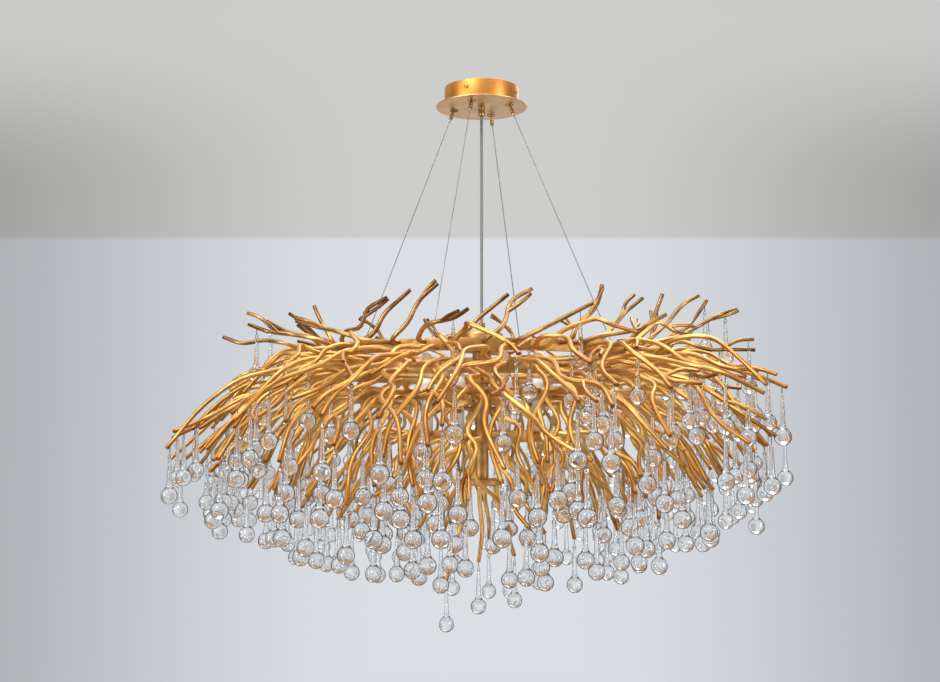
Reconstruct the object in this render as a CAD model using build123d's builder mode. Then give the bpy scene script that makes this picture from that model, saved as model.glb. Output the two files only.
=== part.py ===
from build123d import *

import math
import os
import random
from dataclasses import dataclass, field

import numpy as np

os.makedirs("parts", exist_ok=True)

# Clearances
RUN_GAP = 0.3
FIT_GAP = 0.15
BRAZE_GAP = 0.2
BRANCH_GAP = 1.2
DROP_GAP = 2.4

# Canopy
DRUM_R = 61.0
DRUM_H = 30.0
DRUM_WALL = 1.2
DRUM_EDGE_R = 1.0
DISC_BORDER = 14.0
DISC_T = 2.0
DISC_EDGE_R = 0.7

# Ceiling bracket
STRAP_W = 14.0
STRAP_T = 2.0
TAB_DROP = 18.0
TAB_GAP = 0.6
WIRE_HOLE_R = 9.0
CEILING_PCD = 80.0
CEILING_HOLE_R = 2.6
SIDE_SCREW_AZ = 66.0
SIDE_SCREW_Z = -12.0
SIDE_SCREW_R = 2.0
SIDE_SCREW_L = 6.0
SIDE_HEAD_R = 3.4
SIDE_HEAD_T = 2.0

# Cable grippers
CABLE_COUNT = 4
CABLE_AZ = -20.0
CABLE_R = 0.75
CABLE_TAIL = 5.2
SEAT_SET = 13.0
SEAT_STEM_R = 5.4
SEAT_STEM_H = 6.0
SEAT_FLANGE_R = 6.6
SEAT_FLANGE_T = 1.6
SEAT_NUT_AF = 14.0
SEAT_NUT_H = 4.0
BALL_R = 4.2
PIVOT_RISE = 3.0
NECK_R = 1.8
NECK_L = 6.8
BARREL_R = 3.1
BARREL_L = 11.0
NOZZLE_R = 2.0
NOZZLE_SHOW = 3.0
NOZZLE_DEPTH = 4.5
NOZZLE_TRAVEL = 2.0

# Power cord and its glands
CORD_R = 2.4
CORD_TAIL = 12.0
GLAND_R = 5.5
GLAND_L = 15.0
GLAND_ROUND = 2.4
GLAND_STEM_R = 4.8
GLAND_STEM_H = 9.0
GLAND_NUT_AF = 13.0
GLAND_NUT_H = 4.0
TERMINAL_L = 30.0
TERMINAL_W = 16.0
TERMINAL_H = 12.0
TERMINAL_POLES = 3
TERMINAL_SCREW_R = 2.2
TERMINAL_WIRE_R = 1.8
TERMINAL_PCR = 32.0
TERMINAL_AZ = 25.0

# Crown frame
CROWN_RAISE = 150.0
SPOKES = 4
SPOKE_R = 3.5
RIM_T = 5.0
RIM_H = 18.0
UPPER_R = 236.0
UPPER_Z = -430.0
MIDDLE_R = 230.0
MIDDLE_Z = -462.0
LOWER_R = 208.0
LOWER_Z = -500.0
BOTTOM_R = 130.0
BOTTOM_Z = -562.0
LUG_SET = 12.0
LUG_W = 18.0
LUG_T = 3.0
LUG_IN = 9.0
LUG_HOLE_R = 3.0
LUG_SLOT = 3.0
STOP_R = 3.8

# Hub
TUBE_R = 11.0
TUBE_WALL = 1.5
TUBE_TOP = -436.0
TUBE_END = -640.0
CUP_R = 34.0
CUP_H = 34.0
CUP_WALL = 1.2
CUP_EDGE_R = 5.0
BASE_T = 3.0
SLEEVE_R = 15.0
SLEEVE_H = 12.0
COLLAR_R = 16.0
COLLAR_H = 16.0
COLLAR_GAP = 3.0
COLLAR_STEP = 38.0
GRUB_R = 2.3
GRUB_L = 5.0
CAP_R = 36.0
CAP_T = 10.0
SPIGOT_H = 14.0

# Lamps
LAMP_COUNT = 8
LAMP_PCR = 95.0
PLATE_BORDER = 7.0
PLATE_T = 3.0
PLATE_SET = 14.0
PLATE_COLLAR_H = 14.0
HOLDER_R = 10.0
HOLDER_H = 20.0
HOLDER_NECK_R = 7.6
HOLDER_NECK_H = 7.0
SOCKET_DEPTH = 13.0
BULB_BASE_R = 6.2
BULB_BASE_H = 12.0
BULB_R = 8.0
BULB_H = 42.0

# Twigs
TWIG_R = 3.5
FORK_R = 2.9
TWIG_FOOT = 24.0
BEND_SHARE = 0.46
FORK_FROM = 0.58
FORK_ANGLE = 26.0
TIGHTEST = 2.2
CORNER_PITCH = 40.0
MOST_CORNERS = 4
WIGGLE = 19.0
HEIGHT_WIGGLE = 13.0
TRIES = 40
SEED = 11
CREST_LEAN = 19.0

# Glass drops and the eyes that carry them
EYE_R = 3.4
EYE_WIRE = 1.0
EYE_NECK = 7.0
EYE_NECK_R = 0.8
EYE_ROOT = 3.0
DROP_L = 68.0
DROP_BALL_R = 12.5
DROP_JOIN_R = 6.2
DROP_FLARE = 8.0
STEM_TOP_R = 2.3
STEM_LOW_R = 3.7
DROP_TAB_R = 3.0
DROP_TAB_T = 2.6
DROP_HOLE_R = 1.5
TIP_INSET = 8.0
DROP_PITCH = 33.0
DROP_STEP = 6.0
DROP_REACH = 0.52
SWING = 30.0
SWING_DROPS = 8

# Sizes that follow from the ones above
DISC_R = DRUM_R + DISC_BORDER
SEAT_PCR = DRUM_R - SEAT_SET
LUG_PCR = UPPER_R - RIM_T - LUG_SET
PLATE_R = LAMP_PCR + HOLDER_R + PLATE_BORDER
UPPER_COLLAR_Z = TUBE_TOP - SLEEVE_H - COLLAR_GAP
MIDDLE_COLLAR_Z = UPPER_COLLAR_Z - COLLAR_H - COLLAR_GAP
PLATE_Z = MIDDLE_COLLAR_Z - COLLAR_H - PLATE_SET
PLATE_COLLAR_Z = PLATE_Z - PLATE_T
LOWER_COLLAR_Z = PLATE_COLLAR_Z - PLATE_COLLAR_H - COLLAR_GAP
BOTTOM_COLLAR_Z = LOWER_COLLAR_Z - COLLAR_H - COLLAR_STEP
ROW_HIGH = RIM_H / 4
ROW_LOW = RIM_H * 3 / 4
FLOOR_Z = -DRUM_H - DISC_T
PIVOT_Z = FLOOR_Z - SEAT_FLANGE_T + PIVOT_RISE
STOP_SINK = math.sqrt(STOP_R**2 - LUG_HOLE_R**2) + BRAZE_GAP
STOP_Z = UPPER_Z - LUG_T - STOP_SINK
CABLE_RUN = LUG_PCR - SEAT_PCR
CABLE_TILT = math.degrees(math.atan2(CABLE_RUN, PIVOT_Z - STOP_Z))
RAISED_TILT = math.degrees(math.atan2(CABLE_RUN, PIVOT_Z - STOP_Z - CROWN_RAISE))
CUP_TOP = TUBE_TOP + CUP_H
EYE_DEPTH = EYE_NECK + EYE_R - EYE_WIRE / 2
HOLE_DEPTH = EYE_DEPTH + EYE_R - EYE_WIRE / 2
BALL_DEPTH = DROP_L - DROP_BALL_R
CABLE_TURNS = [CABLE_AZ + k * 360 / CABLE_COUNT for k in range(CABLE_COUNT)]
SCREW_TURNS = [SIDE_SCREW_AZ + k * 360 / CABLE_COUNT for k in range(CABLE_COUNT)]
LAMP_TURNS = [(k + 0.5) * 360 / LAMP_COUNT for k in range(LAMP_COUNT)]

BOTTOM = (Align.CENTER, Align.CENTER, Align.MIN)
TOP = (Align.CENTER, Align.CENTER, Align.MAX)


def polar(radius, turn, z):
    """Point at a radius, a turn in degrees from +X, and a height."""
    a = math.radians(turn)
    return (radius * math.cos(a), radius * math.sin(a), z)


def write(part, name):
    """Label one piece and write its STEP file."""
    part.label = name
    export_step(part, f"parts/{name}.step")


def write_group(solids, name):
    """Write identical or kindred solids as one node."""
    group = Compound(children=[Part(s.wrapped) for s in solids])
    write(group, name)


# Ceiling bracket: crossed straps with tabs turned down inside the drum
tab_face = math.sqrt((DRUM_R - DRUM_WALL - TAB_GAP) ** 2 - (STRAP_W / 2) ** 2)
with BuildPart() as ceiling_bracket:
    with BuildSketch():
        with Locations(*[Rotation(0, 0, t) for t in SCREW_TURNS[:2]]):
            Rectangle(2 * tab_face, STRAP_W)
        Circle(WIRE_HOLE_R + STRAP_W / 2)
        Circle(WIRE_HOLE_R, mode=Mode.SUBTRACT)
        with PolarLocations(CEILING_PCD / 2, CABLE_COUNT, SIDE_SCREW_AZ):
            Circle(CEILING_HOLE_R, mode=Mode.SUBTRACT)
    extrude(amount=-STRAP_T)
    with BuildSketch():
        with PolarLocations(tab_face - STRAP_T / 2, CABLE_COUNT, SIDE_SCREW_AZ):
            Rectangle(STRAP_T, STRAP_W)
    extrude(amount=-TAB_DROP)
    for turn in SCREW_TURNS:
        with BuildSketch(Plane(polar(0, 0, SIDE_SCREW_Z), z_dir=polar(1, turn, 0))):
            Circle(SIDE_SCREW_R + FIT_GAP)
        extrude(amount=DRUM_R, mode=Mode.SUBTRACT)
write(ceiling_bracket.part, "ceiling_bracket")

# Canopy drum: a shallow cup, open to the ceiling
with BuildPart() as canopy_drum:
    Cylinder(DRUM_R, DRUM_H, align=TOP)
    offset(amount=-DRUM_WALL, openings=canopy_drum.faces().sort_by(Axis.Z)[-1:])
    outer_foot = canopy_drum.edges().filter_by(GeomType.CIRCLE).group_by(Axis.Z)[0]
    fillet(outer_foot, min(DRUM_EDGE_R, DRUM_WALL * 0.8))
    with BuildSketch(Plane.XY.offset(-DRUM_H)):
        with PolarLocations(SEAT_PCR, CABLE_COUNT, CABLE_AZ):
            Circle(SEAT_STEM_R + FIT_GAP)
        Circle(GLAND_STEM_R + FIT_GAP)
    extrude(amount=DRUM_WALL, mode=Mode.SUBTRACT)
    for turn in SCREW_TURNS:
        with BuildSketch(Plane(polar(0, 0, SIDE_SCREW_Z), z_dir=polar(1, turn, 0))):
            Circle(SIDE_SCREW_R + FIT_GAP)
        extrude(amount=DRUM_R + DRUM_WALL, mode=Mode.SUBTRACT)
write(canopy_drum.part, "canopy_drum")

# Canopy disc: the wider trim plate under the drum
with BuildPart() as canopy_disc:
    with Locations((0, 0, FLOOR_Z)):
        Cylinder(DISC_R, DISC_T, align=BOTTOM)
    fillet(canopy_disc.edges().filter_by(GeomType.CIRCLE), min(DISC_EDGE_R, DISC_T * 0.4))
    with BuildSketch(Plane.XY.offset(FLOOR_Z)):
        with PolarLocations(SEAT_PCR, CABLE_COUNT, CABLE_AZ):
            Circle(SEAT_STEM_R + FIT_GAP)
        Circle(GLAND_STEM_R + FIT_GAP)
    extrude(amount=DISC_T, mode=Mode.SUBTRACT)
write(canopy_disc.part, "canopy_disc")

# Side screws through the drum into the bracket's tabs
with BuildPart() as side_screw:
    Cylinder(SIDE_SCREW_R, SIDE_SCREW_L, align=TOP)
    Cylinder(SIDE_HEAD_R, SIDE_HEAD_T, align=BOTTOM)
    fillet(side_screw.edges().group_by(Axis.Z)[-1], SIDE_HEAD_T * 0.45)
side_screws = [
    side_screw.part.solid().moved(
        Plane(
            polar(DRUM_R + BRAZE_GAP, turn, SIDE_SCREW_Z), z_dir=polar(1, turn, 0)
        ).location
    )
    for turn in SCREW_TURNS
]
write_group(side_screws, "side_screws")

# Swivel seats: threaded bushes whose bell mouths let the grippers lean
mouth_slope = math.tan(math.radians(RAISED_TILT))
mouth_top = NECK_R / math.cos(math.radians(RAISED_TILT)) + RUN_GAP
with BuildPart() as swivel_seat:
    with Locations((0, 0, -PIVOT_RISE)):
        Cylinder(SEAT_FLANGE_R, SEAT_FLANGE_T, align=BOTTOM)
        Cylinder(
            SEAT_STEM_R, SEAT_FLANGE_T + DISC_T + DRUM_WALL + SEAT_STEM_H, align=BOTTOM
        )
    Sphere(BALL_R + RUN_GAP, mode=Mode.SUBTRACT)
    Cylinder(BALL_R + RUN_GAP, SEAT_STEM_H + DRUM_H, align=BOTTOM, mode=Mode.SUBTRACT)
    Cone(
        mouth_top + PIVOT_RISE * mouth_slope,
        mouth_top,
        PIVOT_RISE,
        align=TOP,
        mode=Mode.SUBTRACT,
    )
seats = [
    swivel_seat.part.solid().moved(Location(polar(SEAT_PCR, turn, PIVOT_Z)))
    for turn in CABLE_TURNS
]
write_group(seats, "swivel_seats")

# Hexagon nuts that hold the seats and the gland inside the drum
with BuildPart() as seat_nut:
    with BuildSketch():
        RegularPolygon(SEAT_NUT_AF / 2, 6, major_radius=False)
        Circle(SEAT_STEM_R + FIT_GAP, mode=Mode.SUBTRACT)
    extrude(amount=SEAT_NUT_H)
inner_floor = -DRUM_H + DRUM_WALL
nuts = [
    seat_nut.part.solid().moved(Location(polar(SEAT_PCR, turn, inner_floor)))
    for turn in CABLE_TURNS
]
with BuildPart() as gland_nut:
    with BuildSketch(Plane.XY.offset(inner_floor)):
        RegularPolygon(GLAND_NUT_AF / 2, 6, major_radius=False)
        Circle(GLAND_STEM_R + FIT_GAP, mode=Mode.SUBTRACT)
    extrude(amount=GLAND_NUT_H)
write_group(nuts + [gland_nut.part.solid()], "canopy_nuts")


def cord_gland(stem_h):
    """Round-ended cord grip, hanging from z = 0 with its threaded stem above."""
    with BuildPart() as gland:
        Cylinder(GLAND_R, GLAND_L, align=TOP)
        fillet(gland.edges().group_by(Axis.Z)[0], GLAND_ROUND)
        Cylinder(GLAND_STEM_R, stem_h, align=BOTTOM)
        Cylinder(CORD_R + RUN_GAP, 3 * GLAND_L, mode=Mode.SUBTRACT)
    return gland.part.solid()


canopy_gland = cord_gland(DISC_T + DRUM_WALL + GLAND_STEM_H).moved(Location((0, 0, FLOOR_Z)))
write(Part(canopy_gland.wrapped), "canopy_gland")

# Terminal block on the drum's floor
with BuildPart() as terminal_block:
    terminal_at = Location(polar(TERMINAL_PCR, TERMINAL_AZ, inner_floor), (0, 0, TERMINAL_AZ + 90))
    with Locations(terminal_at):
        Box(TERMINAL_L, TERMINAL_W, TERMINAL_H, align=BOTTOM)
        with Locations((0, 0, TERMINAL_H / 2)):
            with GridLocations(TERMINAL_L / TERMINAL_POLES, 0, TERMINAL_POLES, 1):
                Cylinder(
                    TERMINAL_WIRE_R, 2 * TERMINAL_W, rotation=(90, 0, 0), mode=Mode.SUBTRACT
                )
        with Locations((0, 0, TERMINAL_H)):
            with GridLocations(TERMINAL_L / TERMINAL_POLES, TERMINAL_W / 2, TERMINAL_POLES, 2):
                Cylinder(TERMINAL_SCREW_R, TERMINAL_H / 2, align=TOP, mode=Mode.SUBTRACT)
write(terminal_block.part, "terminal_block")

# Grippers, release nozzles and cables, one set along each cable line
stops = []
for number, turn in enumerate(CABLE_TURNS, 1):
    pivot = Vector(*polar(SEAT_PCR, turn, PIVOT_Z))
    stop = Vector(*polar(LUG_PCR, turn, STOP_Z))
    down = (stop - pivot).normalized()
    along = Plane(pivot, z_dir=down)
    barrel_end = NECK_L + BARREL_L
    with BuildPart(along) as gripper:
        Sphere(BALL_R)
        Cylinder(NECK_R, NECK_L + BARREL_L / 2, align=BOTTOM)
        with Locations((0, 0, NECK_L)):
            Cylinder(BARREL_R, BARREL_L, align=BOTTOM)
        with Locations((0, 0, barrel_end)):
            Cylinder(
                NOZZLE_R + RUN_GAP,
                NOZZLE_DEPTH + NOZZLE_TRAVEL + RUN_GAP,
                align=TOP,
                mode=Mode.SUBTRACT,
            )
        Cylinder(CABLE_R + RUN_GAP, 4 * barrel_end, mode=Mode.SUBTRACT)
    write(gripper.part, f"gripper_{number}")
    with BuildPart(along) as nozzle:
        with Locations((0, 0, barrel_end - NOZZLE_DEPTH)):
            Cylinder(NOZZLE_R, NOZZLE_DEPTH + NOZZLE_SHOW, align=BOTTOM)
        Cylinder(CABLE_R + RUN_GAP, 4 * barrel_end, mode=Mode.SUBTRACT)
    write(nozzle.part, f"gripper_nozzle_{number}")
    cable_l = (stop - pivot).length + CABLE_TAIL
    with BuildPart(along) as cable:
        with Locations((0, 0, -CABLE_TAIL)):
            Cylinder(CABLE_R, cable_l, align=BOTTOM)
    write(cable.part, f"cable_{number}")
    with BuildPart(Plane(stop, z_dir=-down)) as cable_stop:
        Sphere(STOP_R)
        Cylinder(CABLE_R + FIT_GAP, 2 * STOP_R, align=BOTTOM, mode=Mode.SUBTRACT)
        with Locations((0, 0, -FIT_GAP)):
            Cylinder(CABLE_R + FIT_GAP, STOP_R, align=BOTTOM, mode=Mode.SUBTRACT)
    stops.append(cable_stop.part.solid())
write_group(stops, "cable_stops")

# Power cord from the canopy to the hub cup
with BuildPart() as power_cord:
    with Locations((0, 0, FLOOR_Z + CORD_TAIL)):
        Cylinder(CORD_R, FLOOR_Z + 2 * CORD_TAIL - CUP_TOP, align=TOP)
write(power_cord.part, "power_cord")

# Hub cup, base and tube, with the gland that takes the cord
hub_gland = cord_gland(CUP_WALL + GLAND_STEM_H).mirror(Plane.XY).moved(Location((0, 0, CUP_TOP)))
write(Part(hub_gland.wrapped), "hub_gland")
with BuildPart() as hub_cup:
    with Locations((0, 0, CUP_TOP)):
        Cylinder(CUP_R, CUP_H, align=TOP)
    fillet(hub_cup.edges().group_by(Axis.Z)[-1], CUP_EDGE_R)
    offset(amount=-CUP_WALL, openings=hub_cup.faces().sort_by(Axis.Z)[:1])
    with Locations((0, 0, CUP_TOP)):
        Cylinder(GLAND_STEM_R + FIT_GAP, 4 * CUP_WALL, mode=Mode.SUBTRACT)
write(hub_cup.part, "hub_cup")
with BuildPart() as hub_base:
    with Locations((0, 0, TUBE_TOP)):
        Cylinder(CUP_R - CUP_WALL - FIT_GAP, BASE_T, align=BOTTOM)
        Cylinder(SLEEVE_R, SLEEVE_H, align=TOP)
        Cylinder(TUBE_R + FIT_GAP, SLEEVE_H, align=TOP, mode=Mode.SUBTRACT)
        Cylinder(TUBE_R - TUBE_WALL, 2 * BASE_T, align=BOTTOM, mode=Mode.SUBTRACT)
write(hub_base.part, "hub_base")
with BuildPart() as hub_tube:
    with BuildSketch(Plane.XY.offset(TUBE_END)):
        Circle(TUBE_R)
        Circle(TUBE_R - TUBE_WALL, mode=Mode.SUBTRACT)
    extrude(amount=TUBE_TOP - TUBE_END)
write(hub_tube.part, "hub_tube")


def grub_plane(collar_z, collar_h):
    """Plane on the tube's skin, square to a collar's grub screw."""
    place = polar(TUBE_R + FIT_GAP, 45, collar_z - collar_h / 2)
    return Plane(place, z_dir=polar(1, 45, 0))


def wheel(rim_r, rim_z, collar_z, lugs=False):
    """Rim, spokes and collar welded into one carrier for a tier of twigs."""
    hub_mid = collar_z - COLLAR_H / 2
    rim_mid = rim_z - RIM_H / 2
    with BuildPart() as carrier:
        with BuildSketch(Plane.XY.offset(rim_z)):
            Circle(rim_r)
            Circle(rim_r - RIM_T, mode=Mode.SUBTRACT)
        extrude(amount=-RIM_H)
        with BuildSketch(Plane.XY.offset(collar_z)):
            Circle(COLLAR_R)
        extrude(amount=-COLLAR_H)
        for k in range(SPOKES):
            turn = k * 360 / SPOKES
            inner = Vector(*polar(TUBE_R, turn, hub_mid))
            outer = Vector(*polar(rim_r - RIM_T / 2, turn, rim_mid))
            with BuildSketch(Plane(inner, z_dir=outer - inner)):
                Circle(SPOKE_R)
            extrude(amount=(outer - inner).length)
        if lugs:
            lug_l = LUG_IN + rim_r - RIM_T / 2 - LUG_PCR
            with BuildSketch(Plane.XY.offset(rim_z)):
                with PolarLocations(LUG_PCR - LUG_IN + lug_l / 2, CABLE_COUNT, CABLE_AZ):
                    Rectangle(lug_l, LUG_W)
            extrude(amount=-LUG_T)
            with BuildSketch(Plane.XY.offset(rim_z)):
                with PolarLocations(LUG_PCR - LUG_SLOT / 2, CABLE_COUNT, CABLE_AZ):
                    SlotCenterToCenter(LUG_SLOT, 2 * LUG_HOLE_R)
            extrude(amount=-LUG_T, mode=Mode.SUBTRACT)
        with Locations((0, 0, hub_mid)):
            Cylinder(TUBE_R + FIT_GAP, 2 * COLLAR_H, mode=Mode.SUBTRACT)
        with BuildSketch(grub_plane(collar_z, COLLAR_H)):
            Circle(GRUB_R + FIT_GAP)
        extrude(amount=COLLAR_R, mode=Mode.SUBTRACT)
    return carrier.part


# Four wheels stacked on the tube carry the tiers of twigs
write(wheel(UPPER_R, UPPER_Z, UPPER_COLLAR_Z, lugs=True), "upper_wheel")
write(wheel(MIDDLE_R, MIDDLE_Z, MIDDLE_COLLAR_Z), "middle_wheel")
write(wheel(LOWER_R, LOWER_Z, LOWER_COLLAR_Z), "lower_wheel")
write(wheel(BOTTOM_R, BOTTOM_Z, BOTTOM_COLLAR_Z), "bottom_wheel")

# Lamp plate with its collar, then holders and bulbs standing above and hanging below
with BuildPart() as lamp_plate:
    with Locations((0, 0, PLATE_Z)):
        Cylinder(PLATE_R, PLATE_T, align=TOP)
        Cylinder(COLLAR_R, PLATE_T + PLATE_COLLAR_H, align=TOP)
        Cylinder(TUBE_R + FIT_GAP, 4 * PLATE_COLLAR_H, mode=Mode.SUBTRACT)
        with PolarLocations((LAMP_PCR + COLLAR_R) / 2, LAMP_COUNT):
            Cylinder(LAMP_PCR / 7, 4 * PLATE_T, mode=Mode.SUBTRACT)
    with BuildSketch(grub_plane(PLATE_COLLAR_Z, PLATE_COLLAR_H)):
        Circle(GRUB_R + FIT_GAP)
    extrude(amount=COLLAR_R, mode=Mode.SUBTRACT)
write(lamp_plate.part, "lamp_plate")
with BuildPart() as lamp_holder:
    Cylinder(HOLDER_R, HOLDER_H - HOLDER_NECK_H, align=BOTTOM)
    with Locations((0, 0, HOLDER_H - HOLDER_NECK_H)):
        Cone(HOLDER_R, HOLDER_NECK_R, HOLDER_NECK_H, align=BOTTOM)
    with Locations((0, 0, HOLDER_H)):
        Cylinder(BULB_BASE_R + FIT_GAP, SOCKET_DEPTH, align=TOP, mode=Mode.SUBTRACT)
with BuildPart() as bulb:
    with Locations((0, 0, HOLDER_H - BULB_BASE_H)):
        Cylinder(BULB_BASE_R, BULB_BASE_H + BULB_R, align=BOTTOM)
    with Locations((0, 0, HOLDER_H + BRAZE_GAP)):
        Cylinder(BULB_R, BULB_H, align=BOTTOM)
    fillet(bulb.edges().group_by(Axis.Z)[-1], BULB_R * 0.9)
holders = []
bulbs = []
for turn in LAMP_TURNS:
    above = Location(polar(LAMP_PCR, turn, PLATE_Z))
    below = Location(polar(LAMP_PCR, turn, PLATE_Z - PLATE_T), (180, 0, 0))
    holders += [lamp_holder.part.solid().moved(place) for place in (above, below)]
    bulbs += [bulb.part.solid().moved(place) for place in (above, below)]
write_group(holders, "lamp_holders")
write_group(bulbs, "bulbs")

# Grub screws that lock the wheels and the lamp plate on the tube
with BuildPart() as grub_screw:
    Cylinder(GRUB_R, GRUB_L, align=BOTTOM)
collar_places = [
    (UPPER_COLLAR_Z, COLLAR_H),
    (MIDDLE_COLLAR_Z, COLLAR_H),
    (LOWER_COLLAR_Z, COLLAR_H),
    (BOTTOM_COLLAR_Z, COLLAR_H),
    (PLATE_COLLAR_Z, PLATE_COLLAR_H),
]
grubs = [grub_screw.part.solid().moved(grub_plane(z, h).location) for z, h in collar_places]
write_group(grubs, "grub_screws")

# End cap under the tube, which carries the lowest tuft
with BuildPart() as end_cap:
    with Locations((0, 0, TUBE_END)):
        Cylinder(CAP_R, CAP_T, align=TOP)
        fillet(end_cap.edges().group_by(Axis.Z)[0], CAP_T * 0.3)
        Cylinder(TUBE_R - TUBE_WALL - FIT_GAP, SPIGOT_H, align=BOTTOM)
write(end_cap.part, "end_cap")


class Thicket:
    """Room already taken by twigs and drops, kept as straight round bars."""

    def __init__(self):
        self.start = np.empty((0, 3))
        self.end = np.empty((0, 3))
        self.radius = np.empty(0)

    def add(self, points, radius):
        """Take the room of a bar bent through the points."""
        p = np.array(points, float)
        self.start = np.vstack([self.start, p[:-1]])
        self.end = np.vstack([self.end, p[1:]])
        self.radius = np.append(self.radius, np.full(len(p) - 1, radius))

    def room(self, points, radii, bar=slice(None)):
        """Least free distance from balls at the points to the bars."""
        p = np.array(points, float)
        r = np.array(radii, float)
        start, end, radius = self.start[bar], self.end[bar], self.radius[bar]
        if not len(start):
            return math.inf
        reach = r.max() + radius.max() + max(BRANCH_GAP, DROP_GAP)
        low = np.minimum(start, end) <= p.max(0) + reach
        high = np.maximum(start, end) >= p.min(0) - reach
        near = (low & high).all(1)
        if not near.any():
            return math.inf
        a = start[near]
        d = end[near] - a
        to_point = p[:, None] - a
        share = (to_point * d).sum(2) / np.maximum((d * d).sum(1), 1e-9)
        apart = to_point - np.clip(share, 0, 1)[..., None] * d
        return float((np.linalg.norm(apart, axis=2) - r[:, None] - radius[near]).min())


def bends(points):
    """Fillet radius for each corner of a twig's straight runs."""
    radii = []
    p = [np.array(q, float) for q in points]
    for before, corner, after in zip(p, p[1:], p[2:]):
        u, v = corner - before, after - corner
        cut = BEND_SHARE * min(np.linalg.norm(u), np.linalg.norm(v))
        cosine = np.dot(u, v) / np.linalg.norm(u) / np.linalg.norm(v)
        turn = math.acos(max(-1.0, min(1.0, cosine)))
        radii.append(min(cut / math.tan(turn / 2), 40 * cut))
    return radii


def rounded(points, steps=4):
    """Points along a twig's line with its corners rounded."""
    p = [np.array(q, float) for q in points]
    line = [p[0]]
    for before, corner, after, radius in zip(p, p[1:], p[2:], bends(points)):
        u = (corner - before) / np.linalg.norm(corner - before)
        v = (after - corner) / np.linalg.norm(after - corner)
        half = math.acos(max(-1.0, min(1.0, float(np.dot(u, v))))) / 2
        cut = radius * math.tan(half)
        a, b, w = corner - u * cut, corner + v * cut, math.cos(half)
        for k in range(steps + 1):
            s = k / steps
            weights = ((1 - s) ** 2, 2 * s * (1 - s) * w, s * s)
            mix = weights[0] * a + weights[1] * corner + weights[2] * b
            line.append(mix / sum(weights))
    line.append(p[-1])
    return line


def dense(line, step=3.0):
    """The same line with points no further apart than the step."""
    out = []
    for a, b in zip(line, line[1:]):
        n = max(1, math.ceil(np.linalg.norm(b - a) / step))
        out += [a + (b - a) * k / n for k in range(n)]
    return out + [line[-1]]


@dataclass
class Twig:
    """A bent bar, the forks brazed on it, and where its drops hang."""

    points: list
    radius: float
    forks: list = field(default_factory=list)
    eyes: list = field(default_factory=list)


@dataclass(frozen=True)
class Row:
    """A row of twigs round one rim, in sprays whose tips fan out."""

    name: str
    rim_r: float
    root_z: float
    sprays: int
    per_spray: int
    reach: tuple
    tip_z: tuple
    bow: float
    fan: float
    twist: float
    shift: float
    fork_every: int
    drops: int
    side_rise: float


# Rows of twigs from the top of the crown down to its underside
ROWS = [
    Row("shoulder", UPPER_R, UPPER_Z - ROW_LOW, 12, 4, (330, 430), (-498, -452), 14, 44, 12, 0.5, 3, 2, 22),
    Row("upper", MIDDLE_R, MIDDLE_Z - ROW_HIGH, 13, 4, (424, 506), (-536, -520), 26, 36, -16, 0.0, 3, 2, 34),
    Row("middle", MIDDLE_R, MIDDLE_Z - ROW_LOW, 13, 4, (420, 504), (-580, -610), 26, 32, -14, 0.5, 3, 2, 14),
    Row("skirt", LOWER_R, LOWER_Z - ROW_HIGH, 12, 4, (360, 462), (-612, -650), 30, 36, 14, 0.0, 4, 2, 0),
    Row("lower", LOWER_R, LOWER_Z - ROW_LOW, 10, 4, (290, 388), (-644, -686), 22, 38, 10, 0.5, 4, 3, 0),
    Row("under", BOTTOM_R, BOTTOM_Z - ROW_HIGH, 8, 4, (212, 292), (-680, -710), 14, 46, -8, 0.0, 5, 3, 0),
    Row("bottom", BOTTOM_R, BOTTOM_Z - ROW_LOW, 5, 3, (160, 206), (-700, -726), 8, 50, -6, 0.5, 9, 3, 0),
]
CREST_DROPS = 2
TUFT_DROPS = 1
LOW_TIERS = ("under", "bottom", "tuft")

# Crest twigs: turn, reach and height of each tip
CREST_TIPS = [
    (254.7, 244, -353),
    (245.4, 250, -361),
    (238.0, 262, -372),
    (229.7, 262, -382),
    (214.0, 330, -402),
    (201.4, 278, -371),
    (193.0, 372, -398),
    (188.4, 411, -416),
    (178.0, 352, -384),
    (169.5, 329, -366),
    (159.3, 344, -369),
    (148.0, 390, -402),
    (137.0, 300, -362),
    (124.0, 352, -388),
    (111.0, 292, -356),
    (99.0, 336, -380),
    (86.0, 286, -350),
    (73.0, 348, -384),
    (60.0, 300, -360),
    (47.0, 378, -396),
    (35.0, 330, -362),
    (23.0, 402, -392),
    (12.0, 291, -363),
    (6.0, 377, -347),
    (355.8, 408, -369),
    (348.0, 346, -352),
    (343.8, 431, -440),
    (336.0, 300, -355),
    (329.0, 280, -364),
    (320.0, 342, -396),
    (311.5, 262, -350),
    (300.0, 306, -384),
    (286.0, 250, -361),
    (278.0, 252, -370),
    (266.0, 318, -398),
]

# Tuft under the end cap: turn, reach and height of each tip
TUFT_TIPS = [
    (205.0, 62, -798),
    (262.0, 40, -768),
    (320.0, 66, -758),
    (20.0, 48, -752),
    (80.0, 70, -760),
    (145.0, 58, -750),
]

chance = random.Random(SEED)
thicket = Thicket()


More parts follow.
